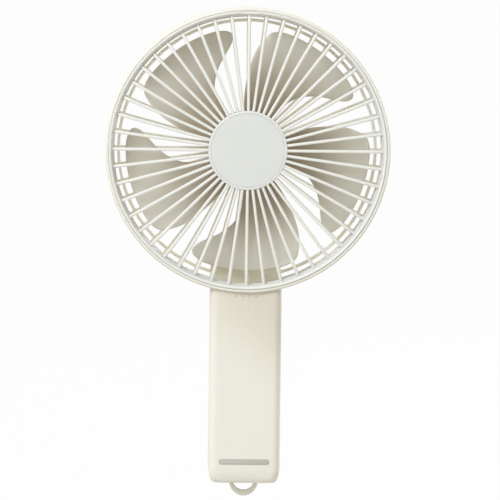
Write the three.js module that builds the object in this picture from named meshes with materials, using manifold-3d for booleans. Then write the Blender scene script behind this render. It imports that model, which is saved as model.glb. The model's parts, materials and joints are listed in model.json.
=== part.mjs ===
// A palm-held fan: a round head on a flat-sided handle, with a fold-out crank behind the handle.
// Sizes are millimetres. +Z is up, the fan blows towards -Y, and +X is to the right seen from the front.
// The origin is the centre of the handle's flat base.

import * as THREE from 'three';
import { mergeVertices } from 'three/addons/utils/BufferGeometryUtils.js';
import Module from 'manifold-3d';

const wasm = await Module();
wasm.setup();

// Fits
const seatGap = 0.3;
const runGap = 0.25;
const fixGap = 0.15;
const cutOverrun = 3;

// Handle
const gearSideGap = 0.97;
const handleCorner = 3.2;
const handleWall = 1.6;
const handleFloor = 1.8;
const baseRoundInset = 2.4;
const baseRoundHeight = 5;
const partingPlace = 3.5;
const tongueThickness = 0.6;
const tongueLength = 1.2;
const saddleRise = 4.5;
const neckGap = 6.05;

// Head shell
const headRadius = 57.1;
const headWall = 1.35;
const lipStep = 0.5;
const lipDepth = 1.4;
const backEdgeRound = 2.6;
const backFlangeReach = 3;
const backFlangeThickness = 1.4;
const lugThickness = 3.2;
const lugFront = -4;
const lugBackGap = 2.4;
const lugDrop = 10.5;
const lugGrooveDepth = 0.5;

// Front grille
const spokeCount = 48;
const grilleStand = 0.4;
const grilleRingFlat = 1;
const grilleRingSlope = 1.1;
const grilleRingDepth = 4.5;
const grilleHubRadius = 15.8;
const grilleHubRim = 1;
const grilleHubDepth = 2.8;
const grilleHubFloor = 0.8;
const spokeWidthAtHub = 1.3;
const spokeWidthAtRim = 1.52;
const spokeDepth = 2;
const spokeSink = 0.15;
const notchWidth = 6.4;
const notchReach = 2;
const notchDepth = 0.7;
const discThickness = 1.2;
const discRecess = 0.4;
const discDome = 0.3;

// Rear guard
const guardDepth = 2.2;
const guardRingWidth = 1.35;
const guardSpokeWidth = 1.2;
const guardThinRingInset = 3.65;
const guardThinRingWidth = 1;
const guardHubRadius = 15.4;
const guardHubPlate = 1.2;
const guardHubRim = 1.8;
const guardHubRimDepth = 2.8;
const capThickness = 0.9;
const webReach = 11.5;
const webFront = 6.6;
const webFrontWall = 1.1;
const webCorner = 3;
const webSideInset = 0.2;
const channelWidth = 4.8;
const channelFront = 7.4;

// Fan motor and its cup
const motorRadius = 8.6;
const motorLength = 11.2;
const motorBackGap = 4.1;
const motorNoseRadius = 3;
const motorNoseLength = 0.8;
const motorShaftRadius = 1;
const motorShaftDepth = 5;
const terminalWidth = 1.6;
const terminalHeight = 1.4;
const terminalDrop = 4.5;
const cupWall = 2.6;
const cupFront = -1;
const cupChamfer = 0.9;
const motorScrewCount = 3;
const motorScrewInset = 1.3;
const motorScrewRadius = 0.7;
const motorScrewLength = 4.5;
const motorScrewHead = 1.3;
const motorScrewHeadHeight = 0.8;

// Impeller
const bladeCount = 5;
const bladeTipGap = 6.75;
const bladeThickness = 1.3;
const bladeLeadInset = 1.1;
const bladeTrailInset = 2.8;
const bladeTipDraw = 1.2;
const bladeCamber = 1.4;
const impellerHubRadius = 15.6;
const impellerHubDraft = 0.7;
const impellerHubWall = 1.5;
const impellerFrontGap = 4.4;
const impellerMotorGap = 4.6;
const impellerHubLength = 13.7;
const impellerHubRound = 2.2;
const impellerBossRadius = 3.2;
const impellerBossLength = 3.2;
const nutRadius = 3;
const nutThickness = 1.1;
// Along the blade from root to tip: how far out each row is, and where its two edges lie, in degrees.
const bladeSpanShares = [0, 0.151, 0.312, 0.469, 0.64, 0.798, 0.915, 0.978, 1];
const bladeLeadDegrees = [50.5, 49.8, 49.4, 43.9, 35.6, 26.8, 25, 27.2, 33];
const bladeTrailDegrees = [95.8, 95, 93, 90.3, 88.3, 84.8, 81.3, 79.3, 74];
// The blade is thinnest at its two edges and reaches its full thickness a little way in.
const bladeEdgeShare = 0.4;
const bladeTaperShare = 0.15;

// Lights, inlay and loop
const lightPitch = 2.7;
const lightCount = 4;
const lightDrop = 1.3;
const lightRadius = 0.45;
const lightHoleGap = 0.2;
const lightBarThickness = 1.2;
const lightBarHeight = 1.8;
const inlayLength = 20.3;
const inlayWidth = 2.2;
const inlayThickness = 0.8;
const inlayHeight = 8.6;
const inlayGap = 0.2;
const loopWidth = 11.6;
const loopDrop = 6.1;
const loopThickness = 1.9;
const loopInnerWidth = 8.2;
const loopInnerRise = 2.85;
const loopSlotReach = 1.8;
const loopPivotHeight = 2.9;
const loopPinRadius = 0.75;
const loopPinLength = 1.9;
const loopSwing = 20;
const loopBlockDepth = 3.6;
const loopBlockHeight = 4.6;

// Case screws
const screwRadius = 0.9;
const screwHeadRadius = 1.9;
const screwHeadHeight = 1;
const screwSinkDepth = 1.3;
const screwBossRadius = 2.4;
const neckScrewDrop = 5.5;
const neckScrewLength = 7.6;
const baseScrewInset = 4.35;
const baseScrewHeight = 8;
const baseScrewLength = 13;

// Crank
const crankHeight = 34;
const knobHingeHeight = 6;
const crankShaftRadius = 2.5;
const crankShaftFlat = 0.6;
const bushRadius = 3.9;
const bushFlangeRadius = 5.4;
const bushFlangeThickness = 0.6;
const bushStand = 0.2;
const armWidth = 14.8;
const armStand = 0.6;
const armThickness = 5.6;
const armEndReach = 3.4;
const armEndRound = 1.6;
const armRound = 0.7;
const armSlotWidth = 10.4;
const armSlotTop = 6.4;
const armSocketDepth = 3.6;
const crankScrewHead = 2.6;
const crankScrewHeadHeight = 0.9;
const crankScrewRadius = 0.75;
const crankScrewLength = 4.6;
const knobAxisStand = 4.6;
const knobPinRadius = 1;
const knobHingeRadius = 3.3;
const knobSpindleRadius = 1.3;
const knobStart = 4.3;
const knobTopGap = 2.7;
const knobRadius = 4.1;
const knobNeckRadius = 3.3;
const knobSinkDepth = 1.5;
const knobEdge = 0.5;
const washerRadius = 2.3;
const washerThickness = 1.1;
const washerEdge = 0.35;

// Gears
const toothModule = 0.7;
const toothAddendum = 0.58;
const toothDedendum = 0.86;
const toothRootWidth = 1.2;
const toothTipWidth = 0.42;
const crankGearTeeth = 32;
const pinionTeeth = 9;
const idlerWheelTeeth = 27;
const gearThickness = 2.8;
const wheelStand = 0.8;
const gearStagger = 0.6;
const gearBackGap = 1.2;
const pinionOverlap = 0.2;
const idlerAxleRadius = 1;
const generatorShaftRadius = 1;

// Gear plate, generator and boards
const plateThickness = 1.6;
const plateSideGap = 0.55;
const plateReachDown = 13.2;
const plateReachUp = 3.85;
const plateCorner = 1.6;
const postRadius = 1.8;
const postSideGap = 0.45;
const postLowInset = 2.6;
const postHighInset = 8.2;
const plateScrewRadius = 0.7;
const plateScrewHead = 1.4;
const plateScrewHeadHeight = 0.8;
const plateScrewLength = 5;
const generatorRadius = 9.5;
const generatorLength = 9.9;
const generatorNoseRadius = 3;
const generatorNoseLength = 1.4;
const generatorShaftDepth = 5;
const batterySideGap = 1.75;
const batteryDepth = 8;
const batteryLowGap = 1;
const batteryHighGap = 1.05;
const batteryRound = 1.6;
const padWidth = 15;
const padThickness = 2.1;
const padLowInset = 5.6;
const padHighInset = 4.4;
const boardStand = 0.9;
const boardThickness = 1.2;
const boardHeight = 10.5;
const boardDrop = 0.6;
const ledChip = 0.9;
const ledChipDepth = 0.6;
const buttonDrop = 5.5;
const buttonRadius = 3.4;
const buttonStand = 0.3;
const buttonDome = 0.3;
const buttonTravel = 0.8;
const buttonFlangeRadius = 4.3;
const buttonFlangeThickness = 0.8;
const buttonStemRadius = 1.5;
const switchSide = 5.6;
const switchDepth = 2.6;
const switchPlungerRadius = 1.6;
const switchPlungerDepth = 0.7;
const usbInset = 3.4;
const usbWidth = 8.9;
const usbThickness = 3.2;
const usbLength = 7.3;
const usbWall = 0.35;
const usbSink = 0.4;
const usbTongueThickness = 0.7;
const usbTongueShare = 0.75;
const usbBoardWidth = 13.4;
const usbBoardThickness = 1;
const usbBoardLow = 4.4;
const usbBoardHeight = 9;

// Motor lead
const leadRadius = 0.7;
const leadPlace = 8.6;
const leadBend = 2.8;
const leadHoleGap = 0.4;

// How finely round shapes are cut
const headSides = 48;
const hubSides = 24;
const bossSides = 12;
const rodSides = 8;
const smallSides = 6;
const cornerSteps = 3;
const hollowCornerSteps = 2;
const baseSteps = 3;
const edgeSteps = 2;
const armSteps = 5;
const bladeChordSteps = 5;
const leadSides = 8;
const leadBendSteps = 6;

// Places that follow from the sizes
const crankGearTip = toothModule * crankGearTeeth / 2 + toothAddendum;
const innerHalfWidth = crankGearTip + gearSideGap;
const handleHalfWidth = innerHalfWidth + handleWall;
const gearStack = plateThickness + wheelStand + gearThickness + gearStagger + gearThickness + gearBackGap;
const cellStack = seatGap + batteryDepth + seatGap + padThickness + seatGap;
const innerBack = (cellStack + gearStack) / 2;
const handleHalfDepth = innerBack + handleWall;
const handleDepth = handleHalfDepth * 2;
const fanStack = impellerFrontGap + impellerMotorGap + motorLength + motorBackGap;
const headDepth = fanStack + guardHubPlate + seatGap + backFlangeThickness;
const crankPinionDistance = toothModule * (crankGearTeeth + pinionTeeth) / 2;
const wheelPinionDistance = toothModule * (idlerWheelTeeth + pinionTeeth) / 2;
const idlerHeight = crankHeight + crankPinionDistance;
const generatorHeight = idlerHeight + wheelPinionDistance;
const headLow = generatorHeight + generatorRadius + neckGap;
const headCentreHeight = headLow + headRadius;
const headFront = -headDepth / 2;
const headBack = headDepth / 2;
const headBore = headRadius - headWall;
const handleTop = headLow + saddleRise;
const lightHeight = headLow - lightDrop;
const buttonHeight = headLow - buttonDrop;
const neckScrewHeight = headLow - neckScrewDrop;
const baseScrewPlace = handleHalfWidth - baseScrewInset;
const lugBack = innerBack - lugBackGap;
const lugOuter = innerHalfWidth - seatGap;
const lugInner = lugOuter - lugThickness;
const neckScrewPlace = (lugInner + lugOuter) / 2;
const lugLow = headLow - lugDrop;
const grilleFront = headFront - grilleStand;
const grilleOuter = headBore - seatGap;
const grilleInner = grilleOuter - grilleRingFlat - grilleRingSlope;
const grilleHubBack = grilleFront + grilleHubDepth;
const guardBack = headBack - backFlangeThickness - seatGap;
const guardFront = guardBack - guardDepth;
const guardOuter = headBore - seatGap;
const guardThinRingRadius = guardOuter - guardThinRingInset;
const webTopHeight = headLow + webReach;
const guardHubFront = guardBack - guardHubPlate;
const guardHubBack = guardHubFront + guardHubRimDepth;
const impellerHubFront = headFront + impellerFrontGap;
const impellerHubBack = impellerHubFront + impellerHubLength;
const bladeLead = impellerHubBack - bladeLeadInset;
const bladeTrail = impellerHubFront + bladeTrailInset;
const bladeRoot = impellerHubRadius - impellerHubWall / 2;
const motorFront = impellerHubFront + impellerMotorGap;
const motorBack = motorFront + motorLength;
const cupInner = motorRadius + seatGap;
const cupOuter = cupInner + cupWall;
const motorScrewCircle = cupInner + motorScrewInset;
const bladeTipRadius = headBore - bladeTipGap;
const cupBack = guardHubFront - seatGap;
const lightBoardGap = seatGap;
const batteryBack = -innerBack + seatGap + batteryDepth;
const plateFront = batteryBack + seatGap + padThickness + seatGap;
const plateBack = plateFront + plateThickness;
const idlerWheelFront = plateBack + wheelStand;
const crankGearFront = idlerWheelFront + gearThickness + gearStagger;
const plateHalfWidth = innerHalfWidth - plateSideGap;
const plateLow = crankHeight - plateReachDown;
const plateHigh = generatorHeight + plateReachUp;
const postPlace = innerHalfWidth - postRadius - postSideGap;
const postLow = plateLow + postLowInset;
const postHigh = plateHigh - postHighInset;
const generatorBack = plateFront - seatGap;
const usbBoardHigh = usbBoardLow + usbBoardHeight;
const batteryLow = usbBoardHigh + batteryLowGap;
const batteryHigh = generatorHeight - generatorRadius - batteryHighGap;
const boardFront = generatorBack + boardStand;
const boardBack = boardFront + boardThickness;
const boardHigh = headLow - boardDrop;
const boardLow = boardHigh - boardHeight;
const armBottom = handleHalfDepth + armStand;
const armTop = armBottom + armThickness;
const knobAxis = handleHalfDepth + knobAxisStand;
const knobLength = crankHeight - armSlotTop - knobTopGap - knobHingeHeight - knobStart;
const usbPlace = innerBack - usbInset;
const usbBack = usbPlace + usbThickness / 2;
const turn = 2 * Math.PI;
const degree = Math.PI / 180;
const halfSpokePitch = turn / spokeCount / 2;

// A geometry as a solid: its shared points are joined, and its faces are turned to point outwards.
function solidOf(geometry) {
  const bare = geometry.clone();
  bare.deleteAttribute('normal');
  bare.deleteAttribute('uv');
  const merged = mergeVertices(bare);
  const points = merged.attributes.position.array;
  const corners = merged.index.array;
  const kept = [];
  let volume = 0;
  for (let i = 0; i < corners.length; i += 3) {
    const [a, b, c] = [corners[i], corners[i + 1], corners[i + 2]];
    if (a === b || b === c || c === a) continue;
    kept.push(a, b, c);
    const first = new THREE.Vector3().fromArray(points, a * 3);
    const second = new THREE.Vector3().fromArray(points, b * 3);
    const third = new THREE.Vector3().fromArray(points, c * 3);
    volume += first.dot(second.cross(third));
  }
  if (volume < 0) kept.reverse();
  return new wasm.Manifold(new wasm.Mesh({
    numProp: 3,
    vertProperties: new Float32Array(points),
    triVerts: new Uint32Array(kept),
  }));
}

function geometryOf(solid) {
  const mesh = solid.getMesh();
  const geometry = new THREE.BufferGeometry();
  geometry.setAttribute('position', new THREE.BufferAttribute(mesh.vertProperties, 3));
  geometry.setIndex(new THREE.BufferAttribute(mesh.triVerts, 1));
  geometry.computeVertexNormals();
  return geometry;
}

function joined(first, ...others) {
  return others.reduce((whole, piece) => whole.add(piece), first);
}

function cut(first, ...others) {
  return others.reduce((whole, piece) => whole.subtract(piece), first);
}

function block(low, high) {
  const geometry = new THREE.BoxGeometry(high[0] - low[0], high[1] - low[1], high[2] - low[2]);
  geometry.translate((low[0] + high[0]) / 2, (low[1] + high[1]) / 2, (low[2] + high[2]) / 2);
  return solidOf(geometry);
}

// A round bar along Y from one depth to another, at a place across and up.
function rodY(radius, front, back, x, z, sides = rodSides) {
  const geometry = new THREE.CylinderGeometry(radius, radius, back - front, sides);
  geometry.translate(x, (front + back) / 2, z);
  return solidOf(geometry);
}

function rodX(radius, left, right, y, z, sides = rodSides) {
  const geometry = new THREE.CylinderGeometry(radius, radius, right - left, sides);
  geometry.rotateZ(Math.PI / 2);
  geometry.translate((left + right) / 2, y, z);
  return solidOf(geometry);
}

function rodZ(radius, low, high, x, y, sides = rodSides) {
  const geometry = new THREE.CylinderGeometry(radius, radius, high - low, sides);
  geometry.rotateX(Math.PI / 2);
  geometry.translate(x, y, (low + high) / 2);
  return solidOf(geometry);
}

// A turned shape about an axis along Y: each profile point is a radius and a depth.
function turned(profile, height, sides, firstCorner = 0) {
  const points = profile.map(([radius, depth]) => new THREE.Vector2(radius, depth));
  const geometry = new THREE.LatheGeometry(points, sides, firstCorner);
  geometry.translate(0, 0, height);
  return solidOf(geometry);
}

// A flat outline in the X-Z plane, given its thickness along Y.
function plate(shape, front, back, curveSteps = smallSides) {
  const geometry = new THREE.ExtrudeGeometry(shape, {
    depth: back - front,
    bevelEnabled: false,
    curveSegments: curveSteps,
  });
  geometry.rotateX(Math.PI / 2);
  geometry.translate(0, back, 0);
  return solidOf(geometry);
}

// A rectangle with round corners as points, centred on the axis.
function roundedRectangle(halfWidth, halfDepth, corner, height, steps = cornerSteps) {
  const points = [];
  for (let quarter = 0; quarter < 4; quarter += 1) {
    const signX = quarter === 0 || quarter === 3 ? 1 : -1;
    const signY = quarter < 2 ? 1 : -1;
    for (let step = 0; step <= steps; step += 1) {
      const angle = (quarter + step / steps) * Math.PI / 2;
      points.push(new THREE.Vector3(
        signX * (halfWidth - corner) + corner * Math.cos(angle),
        signY * (halfDepth - corner) + corner * Math.sin(angle),
        height,
      ));
    }
  }
  return points;
}

// A skin over a row of rings of points, closed by a flat cap at each end.
function lofted(rings) {
  const count = rings[0].length;
  const points = rings.flat().flatMap((point) => [point.x, point.y, point.z]);
  const corners = [];
  for (let ring = 0; ring + 1 < rings.length; ring += 1) {
    for (let i = 0; i < count; i += 1) {
      const next = (i + 1) % count;
      const low = ring * count;
      const high = low + count;
      corners.push(low + i, low + next, high + next);
      corners.push(low + i, high + next, high + i);
    }
  }
  const last = (rings.length - 1) * count;
  for (let i = 1; i + 1 < count; i += 1) {
    corners.push(0, i + 1, i);
    corners.push(last, last + i, last + i + 1);
  }
  const geometry = new THREE.BufferGeometry();
  geometry.setAttribute('position', new THREE.Float32BufferAttribute(points, 3));
  geometry.setIndex(corners);
  return solidOf(geometry);
}

function roundedColumn(halfWidth, halfDepth, corner, low, high) {
  return lofted([low, high].map(
    (height) => roundedRectangle(halfWidth, halfDepth, corner, height, hollowCornerSteps),
  ));
}

// The outside of the handle: straight sides that draw in at the base in a soft round.
function handleOutside() {
  const rings = [];
  for (let step = 0; step <= baseSteps; step += 1) {
    const angle = step / baseSteps * Math.PI / 2;
    const inset = baseRoundInset * (1 - Math.sin(angle));
    const height = baseRoundHeight * (1 - Math.cos(angle));
    rings.push(roundedRectangle(handleHalfWidth - inset, handleHalfDepth - inset, handleCorner, height));
  }
  rings.push(roundedRectangle(handleHalfWidth, handleHalfDepth, handleCorner, handleTop));
  return lofted(rings);
}

// The hollow of the handle follows its outside at the wall's distance. A thinner wall gives a wider hollow.
function handleHollow(wall) {
  const floor = handleFloor - handleWall + wall;
  const halfWidth = handleHalfWidth - wall;
  const halfDepth = handleHalfDepth - wall;
  const corner = handleCorner - wall;
  const rings = [];
  for (let step = 0; step <= edgeSteps; step += 1) {
    const angle = step / edgeSteps * Math.PI / 2;
    const inset = baseRoundInset * (1 - Math.sin(angle));
    const height = floor + (baseRoundHeight - floor) * (1 - Math.cos(angle));
    rings.push(roundedRectangle(halfWidth - inset, halfDepth - inset, corner, height, hollowCornerSteps));
  }
  const top = handleTop + cutOverrun;
  rings.push(roundedRectangle(halfWidth, halfDepth, corner, top, hollowCornerSteps));
  return lofted(rings);
}

// The front half's tongue stands inside the rear half's rebate all along the seam.
function seamTongue() {
  const sheet = cut(handleHollow(handleWall - tongueThickness), handleHollow(handleWall), headSaddle());
  return sheet.intersect(halfSpace(partingPlace - tongueLength, partingPlace + tongueLength - seatGap));
}

function seamRebate() {
  const wide = handleHollow(handleWall - tongueThickness - seatGap);
  return wide.intersect(halfSpace(partingPlace - seatGap, partingPlace + tongueLength));
}

// The head's outside, a little enlarged, cuts the saddle in the top of the handle.
function headSaddle() {
  const reach = handleHalfDepth + cutOverrun;
  return rodY(headRadius + seatGap, -reach, reach, 0, headCentreHeight, headSides);
}

function handleShell() {
  return cut(handleOutside(), handleHollow(handleWall), headSaddle());
}

function halfSpace(front, back) {
  const reach = handleHalfWidth * 2;
  return block([-reach, front, -cutOverrun], [reach, back, handleTop + cutOverrun]);
}

function lightPlaces() {
  return Array.from({ length: lightCount }, (_, i) => (i - (lightCount - 1) / 2) * lightPitch);
}

function inlayShape(gap) {
  const half = (inlayLength - inlayWidth) / 2;
  const radius = inlayWidth / 2 - gap;
  const shape = new THREE.Shape();
  shape.absarc(half, inlayHeight, radius, -Math.PI / 2, Math.PI / 2, false);
  shape.absarc(-half, inlayHeight, radius, Math.PI / 2, Math.PI * 3 / 2, false);
  return shape;
}

// One leg's slot lets the loop swing both ways through the floor. It reaches inward as the loop curves.
function loopSlot(side) {
  const swing = loopSwing * degree;
  const reach = loopPivotHeight * Math.tan(swing) + loopThickness / 2 / Math.cos(swing);
  const near = loopInnerWidth / 2 - loopSlotReach;
  const far = loopWidth / 2 + runGap;
  return block(
    [Math.min(side * near, side * far), -reach - runGap, -cutOverrun],
    [Math.max(side * near, side * far), reach + runGap, handleFloor + cutOverrun],
  );
}

// A small bearing block beside each leg holds the loop's pin.
function loopBlock(side) {
  const near = loopWidth / 2 + runGap;
  const far = near + loopPinLength - runGap;
  const body = block(
    [Math.min(side * near, side * far), -loopBlockDepth / 2, handleFloor / 2],
    [Math.max(side * near, side * far), loopBlockDepth / 2, loopBlockHeight],
  );
  const reach = far + cutOverrun;
  return cut(body, rodX(loopPinRadius + runGap, -reach, reach, 0, loopPivotHeight, smallSides));
}

function handleFrontShell() {
  let shell = handleShell().intersect(halfSpace(-handleDepth, partingPlace - seatGap / 2));
  shell = joined(shell, seamTongue());
  for (const side of [-1, 1]) {
    const boss = rodY(
      screwBossRadius, -handleHalfDepth + handleWall / 2, partingPlace - seatGap / 2,
      side * baseScrewPlace, baseScrewHeight,
    );
    shell = joined(shell, boss.intersect(handleOutside()), loopBlock(side));
    const holeFront = handleHalfDepth - screwSinkDepth - baseScrewLength - seatGap;
    shell = cut(shell, rodY(
      screwRadius + fixGap, holeFront, partingPlace + cutOverrun,
      side * baseScrewPlace, baseScrewHeight, smallSides,
    ));
    shell = cut(shell, loopSlot(side));
  }
  for (const x of lightPlaces()) {
    shell = cut(shell, rodY(
      lightRadius + lightHoleGap, -handleHalfDepth - cutOverrun, -innerBack + cutOverrun,
      x, lightHeight, smallSides,
    ));
  }
  const slotBack = -handleHalfDepth + inlayThickness + inlayGap;
  return cut(shell, plate(inlayShape(0), -handleHalfDepth - cutOverrun, slotBack));
}

// A screw boss on the inside of the back wall, with a sunk seat for the head outside.
function backBoss(x, z, front) {
  return rodY(screwBossRadius, front, handleHalfDepth - handleWall / 2, x, z);
}

function screwHole(x, z, front) {
  const seat = handleHalfDepth - screwSinkDepth;
  return joined(
    rodY(screwRadius + fixGap, front - cutOverrun, seat + fixGap, x, z, smallSides),
    rodY(screwHeadRadius + fixGap, seat, handleHalfDepth + cutOverrun, x, z),
  );
}

function usbHole() {
  const halfWidth = usbWidth / 2 + fixGap;
  const halfDepth = usbThickness / 2 + fixGap;
  const hole = roundedColumn(halfWidth, halfDepth, halfDepth - fixGap, -cutOverrun, handleFloor + cutOverrun);
  return hole.translate([0, usbPlace, 0]);
}

function handleRearShell() {
  let shell = handleShell().intersect(halfSpace(partingPlace + seatGap / 2, handleDepth));
  shell = cut(shell, seamRebate());
  for (const side of [-1, 1]) {
    const baseBoss = backBoss(side * baseScrewPlace, baseScrewHeight, partingPlace + seatGap / 2);
    shell = joined(shell, baseBoss.intersect(handleOutside()));
    const neckBoss = backBoss(side * neckScrewPlace, neckScrewHeight, lugBack + seatGap);
    shell = joined(shell, neckBoss.intersect(handleOutside()));
    for (const height of [postLow, postHigh]) {
      const x = side * postPlace;
      const holeBack = plateFront + plateScrewLength + seatGap;
      shell = joined(shell, rodY(postRadius, plateBack + seatGap, innerBack + handleWall / 2, x, height));
      shell = cut(shell, rodY(plateScrewRadius + fixGap, plateBack, holeBack, x, height, smallSides));
    }
    shell = cut(
      shell,
      screwHole(side * baseScrewPlace, baseScrewHeight, partingPlace),
      screwHole(side * neckScrewPlace, neckScrewHeight, lugBack),
    );
  }
  const wallFront = innerBack - cutOverrun;
  const wallBack = handleHalfDepth + cutOverrun;
  return cut(
    shell,
    rodY(bushRadius + fixGap, wallFront, wallBack, 0, crankHeight, bossSides),
    rodY(buttonRadius + runGap, wallFront, wallBack, 0, buttonHeight, bossSides),
    rodY(idlerAxleRadius + fixGap, wallFront, innerBack + handleWall / 2, 0, idlerHeight),
    usbHole(),
  );
}

// The ring of the head: a stepped front edge, a straight wall, a rounded back edge and a flange inside it.
function headRing() {
  const back = headBack;
  const profile = [
    [headBore, headFront],
    [headRadius - lipStep, headFront],
    [headRadius - lipStep, headFront + lipDepth],
    [headRadius, headFront + lipDepth + lipStep],
  ];
  for (let step = 0; step <= edgeSteps; step += 1) {
    const angle = step / edgeSteps * Math.PI / 2;
    const radius = headRadius - backEdgeRound * (1 - Math.cos(angle));
    profile.push([radius, back - backEdgeRound * (1 - Math.sin(angle))]);
  }
  profile.push(
    [headRadius - backFlangeReach, back],
    [headRadius - backFlangeReach, back - backFlangeThickness],
    [headBore, back - backFlangeThickness],
    [headBore, headFront],
  );
  return turned(profile, headCentreHeight, headSides);
}

// A lug hangs from the ring into the handle. The control board slides in a groove on its inner side.
function headLug(side) {
  const body = block(
    [Math.min(side * lugInner, side * lugOuter), lugFront, lugLow],
    [Math.max(side * lugInner, side * lugOuter), lugBack, headCentreHeight - headBore / 2],
  );
  const grooveSide = lugInner + lugGrooveDepth;
  const groove = block(
    [-grooveSide, boardFront - seatGap, lugLow - cutOverrun],
    [grooveSide, boardBack + seatGap, boardHigh + seatGap],
  );
  const bore = rodY(headRadius - headWall / 2, headFront, headBack, 0, headCentreHeight, headSides);
  const holeFront = handleHalfDepth - screwSinkDepth - neckScrewLength - seatGap;
  const hole = rodY(
    screwRadius + fixGap, holeFront, lugBack + cutOverrun, side * neckScrewPlace, neckScrewHeight, smallSides,
  );
  return cut(body, groove, bore, hole);
}

function headShell() {
  const half = leadRadius + leadHoleGap;
  const leadHole = block(
    [-half, leadPlace - leadBend / 2 - half, headLow - cutOverrun],
    [half, leadPlace + half, headCentreHeight - headBore + cutOverrun],
  );
  return cut(joined(headRing(), headLug(-1), headLug(1)), leadHole);
}

// The corners of a many-sided ring that has one flat for each spoke.
function ringCorners(radius) {
  return Array.from({ length: spokeCount }, (_, i) => {
    const angle = (i + 1 / 2) / spokeCount * turn;
    return new THREE.Vector2(radius * Math.cos(angle), headCentreHeight + radius * Math.sin(angle));
  });
}

// The gap between two straight spokes, from one radius to another.
function gapCorners(index, inner, outer, spokeWidth) {
  const middle = (index + 1 / 2) / spokeCount * turn;
  const corner = (radius, side) => {
    const spread = halfSpokePitch - spokeWidth(radius) / 2 / radius;
    const angle = middle + side * spread;
    return new THREE.Vector2(radius * Math.cos(angle), headCentreHeight + radius * Math.sin(angle));
  };
  return [corner(inner, -1), corner(outer, -1), corner(outer, 1), corner(inner, 1)];
}

// A flat sheet of straight spokes. Each band is a stretch of radius where the sheet is open between them.
function spokedSheet(inner, outer, bands, spokeWidth, front, back) {
  const shape = new THREE.Shape(ringCorners(outer));
  shape.holes.push(new THREE.Path(ringCorners(inner)));
  for (const [low, high] of bands) {
    for (let i = 0; i < spokeCount; i += 1) {
      shape.holes.push(new THREE.Path(gapCorners(i, low, high, spokeWidth)));
    }
  }
  return plate(shape, front, back);
}

function grilleRing() {
  const flatInner = grilleOuter - grilleRingFlat;
  const back = grilleFront + grilleRingDepth;
  return turned([
    [grilleOuter, grilleFront],
    [grilleOuter, back],
    [flatInner, back],
    [grilleInner, grilleFront + spokeDepth],
    [grilleInner, grilleFront + grilleRingSlope],
    [flatInner, grilleFront],
    [grilleOuter, grilleFront],
  ], headCentreHeight, spokeCount, halfSpokePitch);
}

function grilleHub() {
  return turned([
    [0, grilleHubBack - grilleHubFloor],
    [grilleHubRadius - grilleHubRim, grilleHubBack - grilleHubFloor],
    [grilleHubRadius - grilleHubRim, grilleFront],
    [grilleHubRadius, grilleFront],
    [grilleHubRadius, grilleHubBack],
    [0, grilleHubBack],
  ], headCentreHeight, hubSides);
}

// The notch at the top is where a fingernail lifts the grille out of the head.
function grilleNotch() {
  const top = headCentreHeight + grilleOuter;
  return block(
    [-notchWidth / 2, grilleFront - cutOverrun, top - notchReach],
    [notchWidth / 2, grilleFront + notchDepth, top + cutOverrun],
  );
}

function frontGrille() {
  const front = grilleFront + spokeSink;
  const widening = (spokeWidthAtRim - spokeWidthAtHub) / (grilleInner - grilleHubRadius);
  const spokes = spokedSheet(
    grilleHubRadius - grilleHubRim / 2,
    grilleOuter - grilleRingFlat / 2,
    [[grilleHubRadius + spokeSink, grilleInner - spokeSink]],
    (radius) => spokeWidthAtHub + widening * (radius - grilleHubRadius),
    front,
    front + spokeDepth,
  );
  return cut(joined(grilleRing(), grilleHub(), spokes), grilleNotch());
}

function grilleDisc() {
  const radius = grilleHubRadius - grilleHubRim - seatGap;
  const front = grilleFront + discRecess;
  return turned([
    [0, front - discDome],
    [radius / 2, front - discDome / 2],
    [radius - discDome, front],
    [radius, front + discDome],
    [radius, front + discThickness],
    [0, front + discThickness],
  ], headCentreHeight, hubSides);
}

function guardHub() {
  return turned([
    [0, guardHubFront],
    [guardHubRadius, guardHubFront],
    [guardHubRadius, guardHubBack],
    [guardHubRadius - guardHubRim, guardHubBack],
    [guardHubRadius - guardHubRim, guardBack],
    [0, guardBack],
  ], headCentreHeight, hubSides);
}

// The web closes the guard over the handle. It is hollow, so that the motor's lead can run down inside it.
function guardWeb() {
  const half = handleHalfWidth - webSideInset;
  const shape = new THREE.Shape();
  shape.moveTo(-half, headLow);
  shape.lineTo(half, headLow);
  shape.lineTo(half, webTopHeight - webCorner);
  shape.absarc(half - webCorner, webTopHeight - webCorner, webCorner, 0, Math.PI / 2, false);
  shape.absarc(webCorner - half, webTopHeight - webCorner, webCorner, Math.PI / 2, Math.PI, false);
  const panel = plate(shape, webFront, guardBack, cornerSteps);
  return panel.intersect(
    rodY(guardOuter, webFront - cutOverrun, guardBack + cutOverrun, 0, headCentreHeight, headSides),
  );
}

// The duct for the lead is open to the front between the hub and the web.
function leadDuct() {
  const half = leadRadius + leadHoleGap;
  const back = leadPlace + half;
  const openTop = headCentreHeight - cupOuter + cupWall;
  return joined(
    block([-half, channelFront - cutOverrun, webTopHeight - seatGap], [half, back, openTop]),
    block([-half, webFront + webFrontWall, headLow - cutOverrun], [half, back, webTopHeight]),
  );
}

function rearGuard() {
  const halfThin = guardThinRingWidth / 2;
  const spokes = spokedSheet(
    guardHubRadius - guardHubRim / 2,
    guardOuter,
    [
      [guardHubRadius + spokeSink, guardThinRingRadius - halfThin],
      [guardThinRingRadius + halfThin, guardOuter - guardRingWidth],
    ],
    () => guardSpokeWidth,
    guardFront,
    guardBack - spokeSink,
  );
  const channel = block(
    [-channelWidth / 2, channelFront, webTopHeight - webCorner],
    [channelWidth / 2, guardBack - spokeSink, headCentreHeight - cupOuter - seatGap],
  );
  let guard = cut(joined(guardHub(), spokes, guardWeb(), channel), leadDuct());
  for (const [x, z] of motorScrewPlaces()) {
    guard = cut(guard, rodY(
      motorScrewRadius + fixGap, guardHubFront - cutOverrun, guardBack + cutOverrun, x, z, smallSides,
    ));
  }
  return guard;
}

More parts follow.
